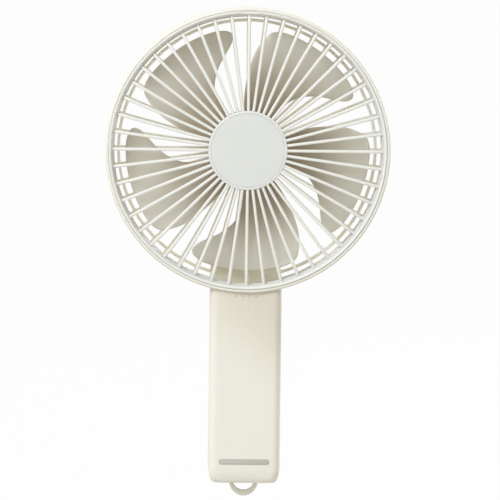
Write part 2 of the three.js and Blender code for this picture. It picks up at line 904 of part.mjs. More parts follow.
function rearHubCap() {
  const radius = guardHubRadius - guardHubRim - seatGap;
  const front = guardBack + seatGap;
  const under = front + motorScrewHeadHeight + seatGap;
  const skirt = motorScrewCircle + motorScrewHead + seatGap;
  return turned([
    [0, under],
    [skirt, under],
    [skirt, front],
    [radius, front],
    [radius, under],
    [radius - capThickness / 2, under + capThickness],
    [0, under + capThickness],
  ], headCentreHeight, hubSides);
}

function motorScrewPlaces() {
  return Array.from({ length: motorScrewCount }, (_, i) => {
    const angle = Math.PI / 2 + i * turn / motorScrewCount;
    return [motorScrewCircle * Math.cos(angle), headCentreHeight + motorScrewCircle * Math.sin(angle)];
  });
}

// A screw along Y, its head towards the given side: 1 for the back, -1 for the front.
function screw(x, z, seat, facing, radius, length, headRadius, headHeight) {
  const ends = (from, to) => (from < to ? [from, to] : [to, from]);
  const [headLowEnd, headHighEnd] = ends(seat + facing * fixGap, seat + facing * (fixGap + headHeight));
  const [shankLow, shankHigh] = ends(seat + facing * headHeight / 2, seat - facing * length);
  return joined(
    rodY(headRadius, headLowEnd, headHighEnd, x, z),
    rodY(radius, shankLow, shankHigh, x, z, smallSides),
  );
}

function motorScrew(x, z) {
  return screw(x, z, guardBack, 1, motorScrewRadius, motorScrewLength, motorScrewHead, motorScrewHeadHeight);
}

// The motor's can, with a nose round the shaft and two terminals behind.
function fanMotor() {
  const bore = motorShaftRadius + runGap;
  const can = turned([
    [bore, motorFront - motorNoseLength],
    [motorNoseRadius, motorFront - motorNoseLength],
    [motorNoseRadius, motorFront],
    [motorRadius - motorNoseLength, motorFront],
    [motorRadius, motorFront + motorNoseLength],
    [motorRadius, motorBack],
    [0, motorBack],
    [0, motorFront + motorShaftDepth],
    [bore, motorFront + motorShaftDepth],
    [bore, motorFront - motorNoseLength],
  ], headCentreHeight, hubSides);
  const top = headCentreHeight - terminalDrop;
  const terminal = (side) => block(
    [side * terminalWidth - terminalWidth / 2, motorBack - terminalHeight, top],
    [side * terminalWidth + terminalWidth / 2, motorBack + terminalHeight, top + terminalHeight],
  );
  return joined(can, terminal(-1), terminal(1));
}

function motorCup() {
  const cup = turned([
    [cupInner, cupFront],
    [cupOuter - cupChamfer, cupFront],
    [cupOuter, cupFront + cupWall],
    [cupOuter, cupBack],
    [cupInner, cupBack],
    [cupInner, cupFront],
  ], headCentreHeight, hubSides);
  const half = leadRadius + leadHoleGap;
  const leadSlot = block(
    [-half, leadPlace - half, headCentreHeight - cupOuter - cutOverrun],
    [half, cupBack + cutOverrun, headCentreHeight - cupInner + cutOverrun],
  );
  const holes = motorScrewPlaces().map(([x, z]) => rodY(
    motorScrewRadius + fixGap, guardBack - motorScrewLength - seatGap, cupBack + cutOverrun, x, z, smallSides,
  ));
  return cut(cup, leadSlot, ...holes);
}

function motorShaft() {
  return rodY(
    motorShaftRadius, impellerHubFront - seatGap - nutThickness / 2,
    motorFront + motorShaftDepth - seatGap, 0, headCentreHeight, smallSides,
  );
}

function impellerNut() {
  const front = impellerHubFront - seatGap - nutThickness;
  const nut = turned([
    [0, front],
    [nutRadius - nutThickness / 2, front],
    [nutRadius, front + nutThickness / 2],
    [nutRadius, front + nutThickness],
    [0, front + nutThickness],
  ], headCentreHeight, smallSides);
  const socket = front + nutThickness / 2 - fixGap;
  return cut(nut, rodY(motorShaftRadius + fixGap, socket, impellerHubFront, 0, headCentreHeight, smallSides));
}

// The hub is a cup over the motor, with a boss that grips the shaft.
function impellerHub() {
  const front = impellerHubFront;
  const floor = front + impellerHubWall;
  const frontRadius = impellerHubRadius - impellerHubDraft;
  const bore = motorShaftRadius + fixGap;
  const profile = [[bore, front]];
  for (let step = 0; step <= edgeSteps; step += 1) {
    const angle = step / edgeSteps * Math.PI / 2;
    const radius = frontRadius - impellerHubRound * (1 - Math.sin(angle));
    profile.push([radius, front + impellerHubRound * (1 - Math.cos(angle))]);
  }
  profile.push(
    [impellerHubRadius, impellerHubBack],
    [impellerHubRadius - impellerHubWall, impellerHubBack],
    [frontRadius - impellerHubWall, floor + impellerHubRound / 2],
    [frontRadius - impellerHubWall - impellerHubRound / 2, floor],
    [impellerBossRadius, floor],
    [impellerBossRadius, front + impellerBossLength],
    [bore, front + impellerBossLength],
    [bore, front],
  );
  return turned(profile, headCentreHeight, hubSides);
}

// Where the blade's middle surface lies along Y, from its leading edge to its trailing edge.
function bladeDepth(chordShare, spanShare) {
  const lead = bladeLead - bladeTipDraw * spanShare / 2;
  const trail = bladeTrail + bladeTipDraw * spanShare;
  const camber = bladeCamber * 4 * chordShare * (1 - chordShare);
  return lead + (trail - lead) * chordShare + camber;
}

// One blade as a row of closed sections from root to tip.
function blade(turnDegrees) {
  const rings = bladeSpanShares.map((rowShare, row) => {
    const radius = bladeRoot + (bladeTipRadius - bladeRoot) * rowShare;
    const spanShare = row / (bladeSpanShares.length - 1);
    const front = [];
    const back = [];
    for (let step = 0; step <= bladeChordSteps; step += 1) {
      const chordShare = step / bladeChordSteps;
      const inward = Math.min(chordShare, 1 - chordShare) / bladeTaperShare;
      const edge = bladeEdgeShare + (1 - bladeEdgeShare) * Math.min(inward, 1);
      const degrees = bladeLeadDegrees[row] + (bladeTrailDegrees[row] - bladeLeadDegrees[row]) * chordShare;
      const angle = (degrees + turnDegrees) * degree;
      const depth = bladeDepth(chordShare, spanShare);
      const x = radius * Math.cos(angle);
      const z = headCentreHeight + radius * Math.sin(angle);
      front.push(new THREE.Vector3(x, depth - bladeThickness / 2 * edge, z));
      back.unshift(new THREE.Vector3(x, depth + bladeThickness / 2 * edge, z));
    }
    return [...front, ...back];
  });
  return loftedStrip(rings);
}

// A skin over flat rings whose caps are strips between their two long sides.
function loftedStrip(rings) {
  const count = rings[0].length;
  const points = rings.flat().flatMap((point) => [point.x, point.y, point.z]);
  const corners = [];
  for (let ring = 0; ring + 1 < rings.length; ring += 1) {
    for (let i = 0; i < count; i += 1) {
      const next = (i + 1) % count;
      const low = ring * count;
      const high = low + count;
      corners.push(low + i, low + next, high + next);
      corners.push(low + i, high + next, high + i);
    }
  }
  const last = (rings.length - 1) * count;
  for (let i = 0; i + 1 < count / 2; i += 1) {
    const across = count - 1 - i;
    corners.push(i, across, across - 1, i, across - 1, i + 1);
    corners.push(last + i, last + across - 1, last + across);
    corners.push(last + i, last + i + 1, last + across - 1);
  }
  const geometry = new THREE.BufferGeometry();
  geometry.setAttribute('position', new THREE.Float32BufferAttribute(points, 3));
  geometry.setIndex(corners);
  return solidOf(geometry);
}

function fanImpeller() {
  let impeller = impellerHub();
  for (let i = 0; i < bladeCount; i += 1) {
    impeller = impeller.add(blade(i * 360 / bladeCount));
  }
  return impeller;
}

// The lead's middle line: down behind the guard, then forward to the control board.
function leadPath() {
  const path = new THREE.CurvePath();
  const bendStart = headLow + leadBend / 2;
  const end = boardBack + seatGap;
  const point = (y, z) => new THREE.Vector3(0, y, z);
  path.add(new THREE.LineCurve3(
    point(leadPlace, headCentreHeight - terminalDrop),
    point(leadPlace, bendStart),
  ));
  path.add(new THREE.QuadraticBezierCurve3(
    point(leadPlace, bendStart),
    point(leadPlace, bendStart - leadBend),
    point(leadPlace - leadBend, bendStart - leadBend),
  ));
  path.add(new THREE.LineCurve3(
    point(leadPlace - leadBend, bendStart - leadBend),
    point(end, bendStart - leadBend),
  ));
  return path;
}

// Points along the lead, close together in the bend and far apart on the straights.
function leadRings() {
  const path = leadPath();
  const [down, bend, forward] = path.curves;
  const stops = [down.getPoint(0)];
  for (let step = 0; step <= leadBendSteps; step += 1) stops.push(bend.getPoint(step / leadBendSteps));
  stops.push(forward.getPoint(1));
  return stops.map((stop, i) => {
    const before = stops[Math.max(i - 1, 0)];
    const after = stops[Math.min(i + 1, stops.length - 1)];
    const along = after.clone().sub(before).normalize();
    const across = new THREE.Vector3(0, along.z, -along.y);
    const ring = [];
    for (let side = 0; side < leadSides; side += 1) {
      const angle = side / leadSides * turn;
      ring.push(new THREE.Vector3(
        stop.x + leadRadius * Math.cos(angle),
        stop.y + leadRadius * Math.sin(angle) * across.y,
        stop.z + leadRadius * Math.sin(angle) * across.z,
      ));
    }
    return ring;
  });
}

function motorLead() {
  return lofted(leadRings());
}

// The four light pipes are one comb: a bar behind them joins them over the board.
function lightPipes() {
  const barBack = boardFront - ledChipDepth - lightBoardGap;
  const half = lightPitch * (lightCount - 1) / 2 + lightRadius;
  const bar = block(
    [-half, barBack - lightBarThickness, lightHeight - lightBarHeight + lightRadius],
    [half, barBack, lightHeight + lightRadius],
  );
  const pipes = lightPlaces().map((x) => rodY(
    lightRadius, -handleHalfDepth + lightHoleGap, barBack - lightBarThickness / 2, x, lightHeight, smallSides,
  ));
  return joined(bar, ...pipes);
}

function gripInlay() {
  return plate(inlayShape(inlayGap), -handleHalfDepth, -handleHalfDepth + inlayThickness);
}

// The loop is a half ring, thicker at the bottom, on two short legs with outward pins.
function strapLoop() {
  const outer = loopWidth / 2;
  const shape = new THREE.Shape();
  shape.moveTo(outer, loopPivotHeight);
  shape.lineTo(outer, 0);
  shape.absellipse(0, 0, outer, loopDrop, 0, -Math.PI, true, 0);
  shape.lineTo(-outer, loopPivotHeight);
  shape.lineTo(-loopInnerWidth / 2, loopPivotHeight);
  shape.lineTo(-loopInnerWidth / 2, 0);
  shape.absellipse(0, 0, loopInnerWidth / 2, loopDrop - loopInnerRise, Math.PI, turn, false, 0);
  shape.lineTo(loopInnerWidth / 2, loopPivotHeight);
  const half = loopThickness / 2;
  const ring = plate(shape, -half, half);
  const between = (radius, near, far) => rodX(
    radius, Math.min(near, far), Math.max(near, far), 0, loopPivotHeight, smallSides,
  );
  const pin = (side) => between(loopPinRadius, side * (outer - half), side * (outer + loopPinLength));
  const crown = (side) => between(half, side * loopInnerWidth / 2, side * outer);
  return joined(ring, crown(-1), crown(1), pin(-1), pin(1));
}

function neckScrew(side) {
  const seat = handleHalfDepth - screwSinkDepth;
  return screw(
    side * neckScrewPlace, neckScrewHeight, seat, 1,
    screwRadius, neckScrewLength, screwHeadRadius, screwHeadHeight,
  );
}

function baseScrew(side) {
  const seat = handleHalfDepth - screwSinkDepth;
  return screw(
    side * baseScrewPlace, baseScrewHeight, seat, 1,
    screwRadius, baseScrewLength, screwHeadRadius, screwHeadHeight,
  );
}

function plateScrew(side, height) {
  return screw(
    side * postPlace, height, plateFront, -1,
    plateScrewRadius, plateScrewLength, plateScrewHead, plateScrewHeadHeight,
  );
}

// A round bar with a flat along one side, for what has to turn with it.
function flattedRod(radius, flatDepth, front, back, height, grow) {
  const round = rodY(radius + grow, front, back, 0, height, rodSides);
  const flat = radius - flatDepth + grow;
  const reach = radius + grow + cutOverrun;
  return cut(round, block(
    [flat, front - cutOverrun, height - reach],
    [reach, back + cutOverrun, height + reach],
  ));
}

// The straight-sided tooth form is kept narrow enough to leave play in the mesh.
function gear(teeth, front, back, height, phaseTeeth) {
  const pitch = toothModule * teeth / 2;
  const root = pitch - toothDedendum;
  const tip = pitch + toothAddendum;
  const shape = new THREE.Shape();
  for (let tooth = 0; tooth < teeth; tooth += 1) {
    const middle = (tooth + phaseTeeth) / teeth * turn;
    const rootHalf = toothRootWidth / 2 / root;
    const tipHalf = toothTipWidth / 2 / tip;
    const corners = [
      [root, middle - rootHalf],
      [tip, middle - tipHalf],
      [tip, middle + tipHalf],
      [root, middle + rootHalf],
    ];
    for (const [radius, angle] of corners) {
      const x = radius * Math.cos(angle);
      const z = height + radius * Math.sin(angle);
      if (tooth === 0 && radius === root && angle < middle) shape.moveTo(x, z);
      else shape.lineTo(x, z);
    }
  }
  return plate(shape, front, back);
}

// A tooth of the lower gear points straight up, where the upper gear has a gap.
function phaseUp(teeth) {
  return teeth / 4 % 1;
}

function phaseDown(teeth) {
  return (teeth * 3 / 4 + 1 / 2) % 1;
}

function crankGear() {
  const back = crankGearFront + gearThickness;
  const bore = flattedRod(
    crankShaftRadius, crankShaftFlat, crankGearFront - cutOverrun, back + cutOverrun, crankHeight, fixGap,
  );
  return cut(gear(crankGearTeeth, crankGearFront, back, crankHeight, phaseUp(crankGearTeeth)), bore);
}

function idlerGear() {
  const pinionBack = crankGearFront + gearThickness + pinionOverlap;
  const wheelBack = idlerWheelFront + gearThickness;
  const wheel = gear(idlerWheelTeeth, idlerWheelFront, wheelBack, idlerHeight, phaseUp(idlerWheelTeeth));
  const pinionFront = wheelBack - pinionOverlap;
  const pinion = gear(pinionTeeth, pinionFront, pinionBack, idlerHeight, phaseDown(pinionTeeth));
  const bore = rodY(
    idlerAxleRadius + runGap, idlerWheelFront - cutOverrun, pinionBack + cutOverrun, 0, idlerHeight,
  );
  return cut(joined(wheel, pinion), bore);
}

function idlerAxle() {
  return rodY(
    idlerAxleRadius, plateFront + fixGap, innerBack + handleWall / 2 - fixGap, 0, idlerHeight, rodSides,
  );
}

function generatorPinion() {
  const front = idlerWheelFront - pinionOverlap;
  const back = idlerWheelFront + gearThickness + pinionOverlap;
  const bore = rodY(
    generatorShaftRadius + fixGap, front - cutOverrun, back + cutOverrun, 0, generatorHeight, smallSides,
  );
  return cut(gear(pinionTeeth, front, back, generatorHeight, phaseDown(pinionTeeth)), bore);
}

function generatorShaft() {
  const back = idlerWheelFront + gearThickness + pinionOverlap * 2;
  return rodY(
    generatorShaftRadius, generatorBack - generatorShaftDepth + seatGap, back, 0, generatorHeight, smallSides,
  );
}

function generatorCan() {
  const bore = generatorShaftRadius + runGap;
  const front = generatorBack - generatorLength;
  return turned([
    [0, front],
    [generatorRadius - generatorNoseLength / 2, front],
    [generatorRadius, front + generatorNoseLength / 2],
    [generatorRadius, generatorBack],
    [generatorNoseRadius, generatorBack],
    [generatorNoseRadius, generatorBack + generatorNoseLength],
    [bore, generatorBack + generatorNoseLength],
    [bore, generatorBack - generatorShaftDepth],
    [0, generatorBack - generatorShaftDepth],
  ], generatorHeight, bossSides);
}

// The plate carries the gear train in front of the back wall.
function gearPlate() {
  const middle = (plateLow + plateHigh) / 2;
  const halfHeight = (plateHigh - plateLow) / 2;
  const corners = roundedRectangle(plateHalfWidth, halfHeight, plateCorner, 0);
  const shape = new THREE.Shape(corners.map((corner) => new THREE.Vector2(corner.x, corner.y + middle)));
  let sheet = plate(shape, plateFront, plateBack);
  const hole = (radius, x, z, sides) => rodY(
    radius, plateFront - cutOverrun, plateBack + cutOverrun, x, z, sides,
  );
  sheet = cut(
    sheet,
    hole(crankShaftRadius + runGap, 0, crankHeight, bossSides),
    hole(idlerAxleRadius + fixGap, 0, idlerHeight, rodSides),
    hole(generatorNoseRadius + fixGap, 0, generatorHeight, bossSides),
  );
  for (const side of [-1, 1]) {
    for (const height of [postLow, postHigh]) {
      sheet = cut(sheet, hole(plateScrewRadius + fixGap, side * postPlace, height, smallSides));
    }
  }
  return sheet;
}

function crankShaft() {
  const back = armBottom + armSocketDepth - fixGap;
  const shaft = flattedRod(crankShaftRadius, crankShaftFlat, plateFront, back, crankHeight, 0);
  const thread = rodY(
    crankScrewRadius + fixGap, back - crankScrewLength, back + cutOverrun, 0, crankHeight, smallSides,
  );
  return cut(shaft, thread);
}

function crankBush() {
  const bore = crankShaftRadius + runGap;
  const flangeFront = innerBack - fixGap - bushFlangeThickness;
  return turned([
    [bore, flangeFront],
    [bushFlangeRadius, flangeFront],
    [bushFlangeRadius, flangeFront + bushFlangeThickness],
    [bushRadius, flangeFront + bushFlangeThickness],
    [bushRadius, handleHalfDepth + bushStand],
    [bore, handleHalfDepth + bushStand],
    [bore, flangeFront],
  ], crankHeight, bossSides);
}

function armShape(inset) {
  const half = armWidth / 2 - inset;
  const low = knobHingeHeight - armEndReach + inset;
  const round = armEndRound;
  const shape = new THREE.Shape();
  shape.absarc(0, crankHeight, half, 0, Math.PI, false);
  shape.absarc(round - half, low + round, round, Math.PI, Math.PI * 3 / 2, false);
  shape.absarc(half - round, low + round, round, Math.PI * 3 / 2, turn, false);
  return shape;
}

// The arm is a fork. The knob lies in its slot when folded, on a pin between the two cheeks.
function crankArm() {
  const rings = [
    [0, armBottom],
    [0, armTop - armRound],
    [armRound, armTop],
  ].map(([inset, depth]) => armShape(inset).getPoints(armSteps).map(
    (point) => new THREE.Vector3(point.x, depth, point.y),
  ));
  const slotHalf = armSlotWidth / 2;
  const slot = block(
    [-slotHalf, armBottom - cutOverrun, knobHingeHeight - armEndReach - cutOverrun],
    [slotHalf, armTop + cutOverrun, crankHeight - armSlotTop],
  );
  const reach = armWidth / 2 - armRound;
  const pinHole = rodX(knobPinRadius + fixGap, -reach, reach, knobAxis, knobHingeHeight);
  const socket = flattedRod(
    crankShaftRadius, crankShaftFlat, armBottom - cutOverrun, armBottom + armSocketDepth, crankHeight, fixGap,
  );
  const screwHoleThrough = rodY(
    crankScrewRadius + fixGap, armBottom, armTop + cutOverrun, 0, crankHeight, smallSides,
  );
  const headSeat = rodY(
    crankScrewHead + fixGap, armTop - crankScrewHeadHeight - fixGap, armTop + cutOverrun, 0, crankHeight,
  );
  return cut(lofted(rings), slot, pinHole, socket, screwHoleThrough, headSeat);
}

function crankScrew() {
  const seat = armTop - crankScrewHeadHeight - fixGap;
  return screw(
    0, crankHeight, seat, 1,
    crankScrewRadius, crankScrewLength, crankScrewHead, crankScrewHeadHeight,
  );
}

function knobPin() {
  const reach = armWidth / 2 - armRound - fixGap;
  return rodX(knobPinRadius, -reach, reach, knobAxis, knobHingeHeight);
}

// The knuckle turns on the pin and carries the spindle on which the knob spins.
function knobSwivel() {
  const half = armSlotWidth / 2 - runGap;
  const spindleTop = washerLow() + washerThickness - washerEdge - fixGap;
  return cut(
    joined(
      rodX(knobHingeRadius, -half, half, knobAxis, knobHingeHeight, rodSides),
      rodZ(knobSpindleRadius, knobHingeHeight + knobHingeRadius / 2, spindleTop, 0, knobAxis, smallSides),
    ),
    rodX(knobPinRadius + runGap, -half - cutOverrun, half + cutOverrun, knobAxis, knobHingeHeight),
  );
}

// A turned shape about the knob's own axis: each profile point is a radius and a height.
function turnedKnob(profile) {
  const points = profile.map(([radius, height]) => new THREE.Vector2(radius, height));
  const geometry = new THREE.LatheGeometry(points, bossSides);
  geometry.rotateX(Math.PI / 2);
  geometry.translate(0, knobAxis, 0);
  return solidOf(geometry);
}

function knobGrip() {
  const low = knobHingeHeight + knobStart;
  const high = low + knobLength;
  const bore = knobSpindleRadius + runGap;
  const sink = washerRadius + runGap;
  const profile = [[bore, low], [knobNeckRadius - knobEdge, low]];
  for (let step = 0; step <= cornerSteps; step += 1) {
    const share = step / cornerSteps;
    const radius = knobNeckRadius + (knobRadius - knobNeckRadius) * Math.sin(share * Math.PI / 2);
    profile.push([radius, low + knobEdge + (knobLength - knobEdge * 3) * share]);
  }
  profile.push(
    [knobRadius - knobEdge / 2, high - knobEdge / 2],
    [knobRadius - knobEdge * 2, high],
    [sink, high],
    [sink, high - knobSinkDepth],
    [bore, high - knobSinkDepth],
    [bore, low],
  );
  return turnedKnob(profile);
}

function washerLow() {
  return knobHingeHeight + knobStart + knobLength - knobSinkDepth + runGap;
}

function knobWasher() {
  const low = washerLow();
  const top = low + washerThickness;
  const bore = knobSpindleRadius + fixGap;
  return turnedKnob([
    [bore, low],
    [washerRadius, low],
    [washerRadius, top - washerEdge],
    [washerRadius - washerEdge, top],
    [0, top],
    [0, top - washerEdge],
    [bore, top - washerEdge],
    [bore, low],
  ]);
}

function batteryCell() {
  const front = -innerBack + seatGap;
  const middle = (front + batteryBack) / 2;
  const half = innerHalfWidth - batterySideGap;
  const cell = roundedColumn(half, batteryDepth / 2, batteryRound, batteryLow, batteryHigh);
  return cell.translate([0, middle, 0]);
}

function batteryPad() {
  const half = padWidth / 2;
  const low = batteryLow + padLowInset;
  const high = batteryHigh - padHighInset;
  return block([-half, batteryBack + seatGap, low], [half, plateFront - seatGap, high]);
}

// The board carries a small light under each pipe.
function controlBoard() {
  const half = lugInner + lugGrooveDepth - seatGap;
  const board = block([-half, boardFront, boardLow], [half, boardBack, boardHigh]);
  const chips = lightPlaces().map((x) => block(
    [x - ledChip / 2, boardFront - ledChipDepth, lightHeight - ledChip / 2],
    [x + ledChip / 2, boardFront + boardThickness / 2, lightHeight + ledChip / 2],
  ));
  return joined(board, ...chips);
}

function tactSwitch() {
  const front = boardBack + fixGap;
  const back = front + switchDepth;
  const half = switchSide / 2;
  return joined(
    block([-half, front, buttonHeight - half], [half, back, buttonHeight + half]),
    rodY(switchPlungerRadius, back - switchDepth / 2, back + switchPlungerDepth, 0, buttonHeight, smallSides),
  );
}

function powerButton() {
  const top = handleHalfDepth + buttonStand;
  const flangeBack = innerBack - fixGap;
  const stemFront = boardBack + fixGap + switchDepth + switchPlungerDepth + buttonTravel + fixGap;
  return turned([
    [0, stemFront],
    [buttonStemRadius, stemFront],
    [buttonStemRadius, flangeBack - buttonFlangeThickness],
    [buttonFlangeRadius, flangeBack - buttonFlangeThickness],
    [buttonFlangeRadius, flangeBack],
    [buttonRadius, flangeBack],
    [buttonRadius, top - buttonDome],
    [buttonRadius - buttonDome, top],
    [0, top],
  ], buttonHeight, bossSides);
}

// The socket is a flattened tube with a tongue inside it, open at the base.
function usbSocket() {
  const halfWidth = usbWidth / 2;
  const halfDepth = usbThickness / 2;
  const high = usbSink + usbLength;
  const tube = roundedColumn(halfWidth, halfDepth, halfDepth - fixGap, usbSink, high);
  const hollow = roundedColumn(
    halfWidth - usbWall, halfDepth - usbWall, halfDepth - usbWall - fixGap, -cutOverrun, high - usbWall * 2,
  );
  const tongueHalf = (halfWidth - usbWall) * usbTongueShare;
  const tongue = block(
    [-tongueHalf, -usbTongueThickness / 2, usbSink + usbLength * (1 - usbTongueShare) / 2],
    [tongueHalf, usbTongueThickness / 2, high - usbWall],
  );
  return joined(cut(tube, hollow), tongue).translate([0, usbPlace, 0]);
}

function usbBoard() {
  const front = usbBack + fixGap;
  return block(
    [-usbBoardWidth / 2, front, usbBoardLow],
    [usbBoardWidth / 2, front + usbBoardThickness, usbBoardHigh],
  );
}

const shellPlastic = { color: 0xe8e5da, roughness: 0.55, metalness: 0 };
const grillePlastic = { color: 0xe3e4e0, roughness: 0.5, metalness: 0 };
const discPlastic = { color: 0xdddfdc, roughness: 0.6, metalness: 0 };
const bladePlastic = { color: 0xc8c5b4, roughness: 0.5, metalness: 0 };
const greyPlastic = { color: 0xbcbcb2, roughness: 0.6, metalness: 0 };
const lightPlastic = { color: 0xb9b6a8, roughness: 0.3, metalness: 0 };
const gearPlastic = { color: 0xf0eee6, roughness: 0.45, metalness: 0 };
const boardResin = { color: 0x2f6b45, roughness: 0.5, metalness: 0 };
const switchPlastic = { color: 0x2b2b2b, roughness: 0.5, metalness: 0 };
const cellWrap = { color: 0x7fa6b8, roughness: 0.4, metalness: 0 };
const padFoam = { color: 0x4a4a48, roughness: 0.95, metalness: 0 };
const leadCover = { color: 0xa03028, roughness: 0.5, metalness: 0 };
const steel = { color: 0xc9c9c7, roughness: 0.3, metalness: 1 };
const brass = { color: 0xc9a75a, roughness: 0.3, metalness: 1 };

const fan = new THREE.Group();

function place(name, solid, finish) {
  const mesh = new THREE.Mesh(geometryOf(solid), new THREE.MeshStandardMaterial(finish));
  mesh.name = name;
  fan.add(mesh);
}

function placeCase() {
  place('handle_front_shell', handleFrontShell(), shellPlastic);
  place('handle_rear_shell', handleRearShell(), shellPlastic);
  place('head_shell', headShell(), shellPlastic);
  place('rear_guard', rearGuard(), shellPlastic);
  place('rear_hub_cap', rearHubCap(), shellPlastic);
  place('front_grille', frontGrille(), grillePlastic);
  place('grille_disc', grilleDisc(), discPlastic);
  place('grip_inlay', gripInlay(), greyPlastic);
  place('strap_loop', strapLoop(), greyPlastic);
  place('neck_screw_left', neckScrew(-1), steel);
  place('neck_screw_right', neckScrew(1), steel);
  place('base_screw_left', baseScrew(-1), steel);
  place('base_screw_right', baseScrew(1), steel);
}

function placeFan() {
  place('fan_impeller', fanImpeller(), bladePlastic);
  place('fan_motor', fanMotor(), steel);
  place('motor_cup', motorCup(), shellPlastic);
  place('motor_shaft', motorShaft(), steel);
  place('impeller_nut', impellerNut(), brass);
  place('motor_lead', motorLead(), leadCover);
  motorScrewPlaces().forEach(([x, z], i) => place(`motor_screw_${i + 1}`, motorScrew(x, z), steel));
}

function placeCrank() {
  place('crank_shaft', crankShaft(), steel);
  place('crank_bush', crankBush(), brass);
  place('crank_gear', crankGear(), gearPlastic);
  place('crank_arm', crankArm(), shellPlastic);
  place('crank_screw', crankScrew(), steel);
  place('knob_pin', knobPin(), steel);
  place('knob_swivel', knobSwivel(), greyPlastic);
  place('knob_grip', knobGrip(), grillePlastic);
  place('knob_washer', knobWasher(), steel);
}

function placeGearTrain() {
  place('gear_plate', gearPlate(), steel);
  place('idler_axle', idlerAxle(), steel);
  place('idler_gear', idlerGear(), gearPlastic);
  place('generator', generatorCan(), steel);
  place('generator_shaft', generatorShaft(), steel);
  place('generator_pinion', generatorPinion(), brass);
  for (const [sideName, side] of [['left', -1], ['right', 1]]) {
    place(`plate_screw_low_${sideName}`, plateScrew(side, postLow), steel);
    place(`plate_screw_high_${sideName}`, plateScrew(side, postHigh), steel);
  }
}

function placeElectrics() {
  place('battery_cell', batteryCell(), cellWrap);
  place('battery_pad', batteryPad(), padFoam);
  place('control_board', controlBoard(), boardResin);
  place('led_light_pipes', lightPipes(), lightPlastic);
  place('tact_switch', tactSwitch(), switchPlastic);
  place('power_button', powerButton(), greyPlastic);
  place('usb_socket', usbSocket(), steel);
  place('usb_board', usbBoard(), boardResin);
}

placeCase();
placeFan();
placeCrank();
placeGearTrain();
placeElectrics();

export default fan;
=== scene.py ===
# %% [markdown]
# # A hand crank fan
# This notebook dresses a palm-held fan: a round head with a grille and five blades, a flat-sided handle,
# a strap loop under the base and a fold-out crank behind. The solid model of the fan is the fixed frame.
# Every piece made here sits exactly where the solid part sits, and moves with the same body.

# %% Load the frame
import json
import math

import bmesh
import bpy
from mathutils import Matrix, Vector


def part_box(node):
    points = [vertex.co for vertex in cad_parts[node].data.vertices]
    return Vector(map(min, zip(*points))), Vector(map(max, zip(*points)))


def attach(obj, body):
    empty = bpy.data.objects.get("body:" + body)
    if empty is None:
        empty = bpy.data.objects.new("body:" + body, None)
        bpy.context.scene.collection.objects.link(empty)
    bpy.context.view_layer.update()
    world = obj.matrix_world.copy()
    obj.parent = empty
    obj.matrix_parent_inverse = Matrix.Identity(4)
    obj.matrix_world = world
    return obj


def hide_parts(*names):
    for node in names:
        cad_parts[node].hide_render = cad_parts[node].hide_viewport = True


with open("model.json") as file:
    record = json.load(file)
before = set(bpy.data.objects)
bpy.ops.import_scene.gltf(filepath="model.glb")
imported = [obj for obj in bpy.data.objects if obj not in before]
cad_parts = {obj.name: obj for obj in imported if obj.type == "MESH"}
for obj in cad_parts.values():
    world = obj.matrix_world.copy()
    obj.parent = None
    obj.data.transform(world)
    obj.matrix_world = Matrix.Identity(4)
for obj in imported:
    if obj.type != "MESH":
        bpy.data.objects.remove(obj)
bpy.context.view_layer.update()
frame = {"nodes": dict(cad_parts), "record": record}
nodes = frame["nodes"]
MM = 0.001
TURN = 2 * math.pi
X, Y, Z = Vector((1, 0, 0)), Vector((0, 1, 0)), Vector((0, 0, 1))

# %% [markdown]
# ## Measuring the frame
# The big sizes are read from the solid parts, so that each dressed piece fits the part it stands for.
# The head is a ring about an axis along Y, and the handle is a tall block whose base is at the origin.
# From here on, sizes are in millimetres, and the shape helpers turn them into metres.

# %% Sizes read from the frame
head_low, head_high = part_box("head_shell")
head_radius = head_high.x / MM
head_z = head_high.z / MM - head_radius
head_front, head_back = head_low.y / MM, head_high.y / MM
handle_low, handle_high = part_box("handle_front_shell")
half_width = handle_high.x / MM
half_depth = -handle_low.y / MM
print(f"head radius {head_radius:.1f} mm about z {head_z:.1f} mm")
print(f"handle {half_width * 2:.1f} by {half_depth * 2:.1f} mm")

# %% [markdown]
# ## The camera
# The photograph was taken from almost straight in front with a long lens, from a little above and a little
# to the left. One pixel of it is 0.4 mm at the fan, which sets the width of the view. The fan leans 0.7
# degrees to the right in the picture, so the camera is rolled by as much.

# %% Camera
PIXEL = 0.3995 * MM
PHOTO_SIDE = 500
view_middle = Vector((1.3, -13.6, 93.86)) * MM
camera_distance = 2.1
camera_left = math.radians(1.0)
camera_up = math.radians(3.3)
camera_roll = math.radians(0.7)

towards_camera = Vector((
    -math.sin(camera_left) * math.cos(camera_up),
    -math.cos(camera_left) * math.cos(camera_up),
    math.sin(camera_up),
))
camera_data = bpy.data.cameras.new("camera")
camera = bpy.data.objects.new("camera", camera_data)
bpy.context.scene.collection.objects.link(camera)
bpy.context.scene.camera = camera
camera_data.sensor_width = 36
camera_data.lens = camera_data.sensor_width * camera_distance / (PHOTO_SIDE * PIXEL)
aim = (-towards_camera).to_track_quat("-Z", "Y").to_matrix().to_4x4()
place = Matrix.Translation(view_middle + towards_camera * camera_distance)
camera.matrix_world = place @ aim @ Matrix.Rotation(camera_roll, 4, "Z")
print(f"camera {camera_distance} m away, lens {camera_data.lens:.0f} mm")

# %% [markdown]
# ## Writing shaders as sums
# A shader is a graph of nodes, but its maths reads better as an expression. A small class wraps one socket
# and overloads the arithmetic signs, so that `1 - grain * 0.2` adds the Math nodes by itself. Any other node
# comes from one method that takes the node's type, its settings and what goes into its sockets.

# %% A socket that can be added and multiplied


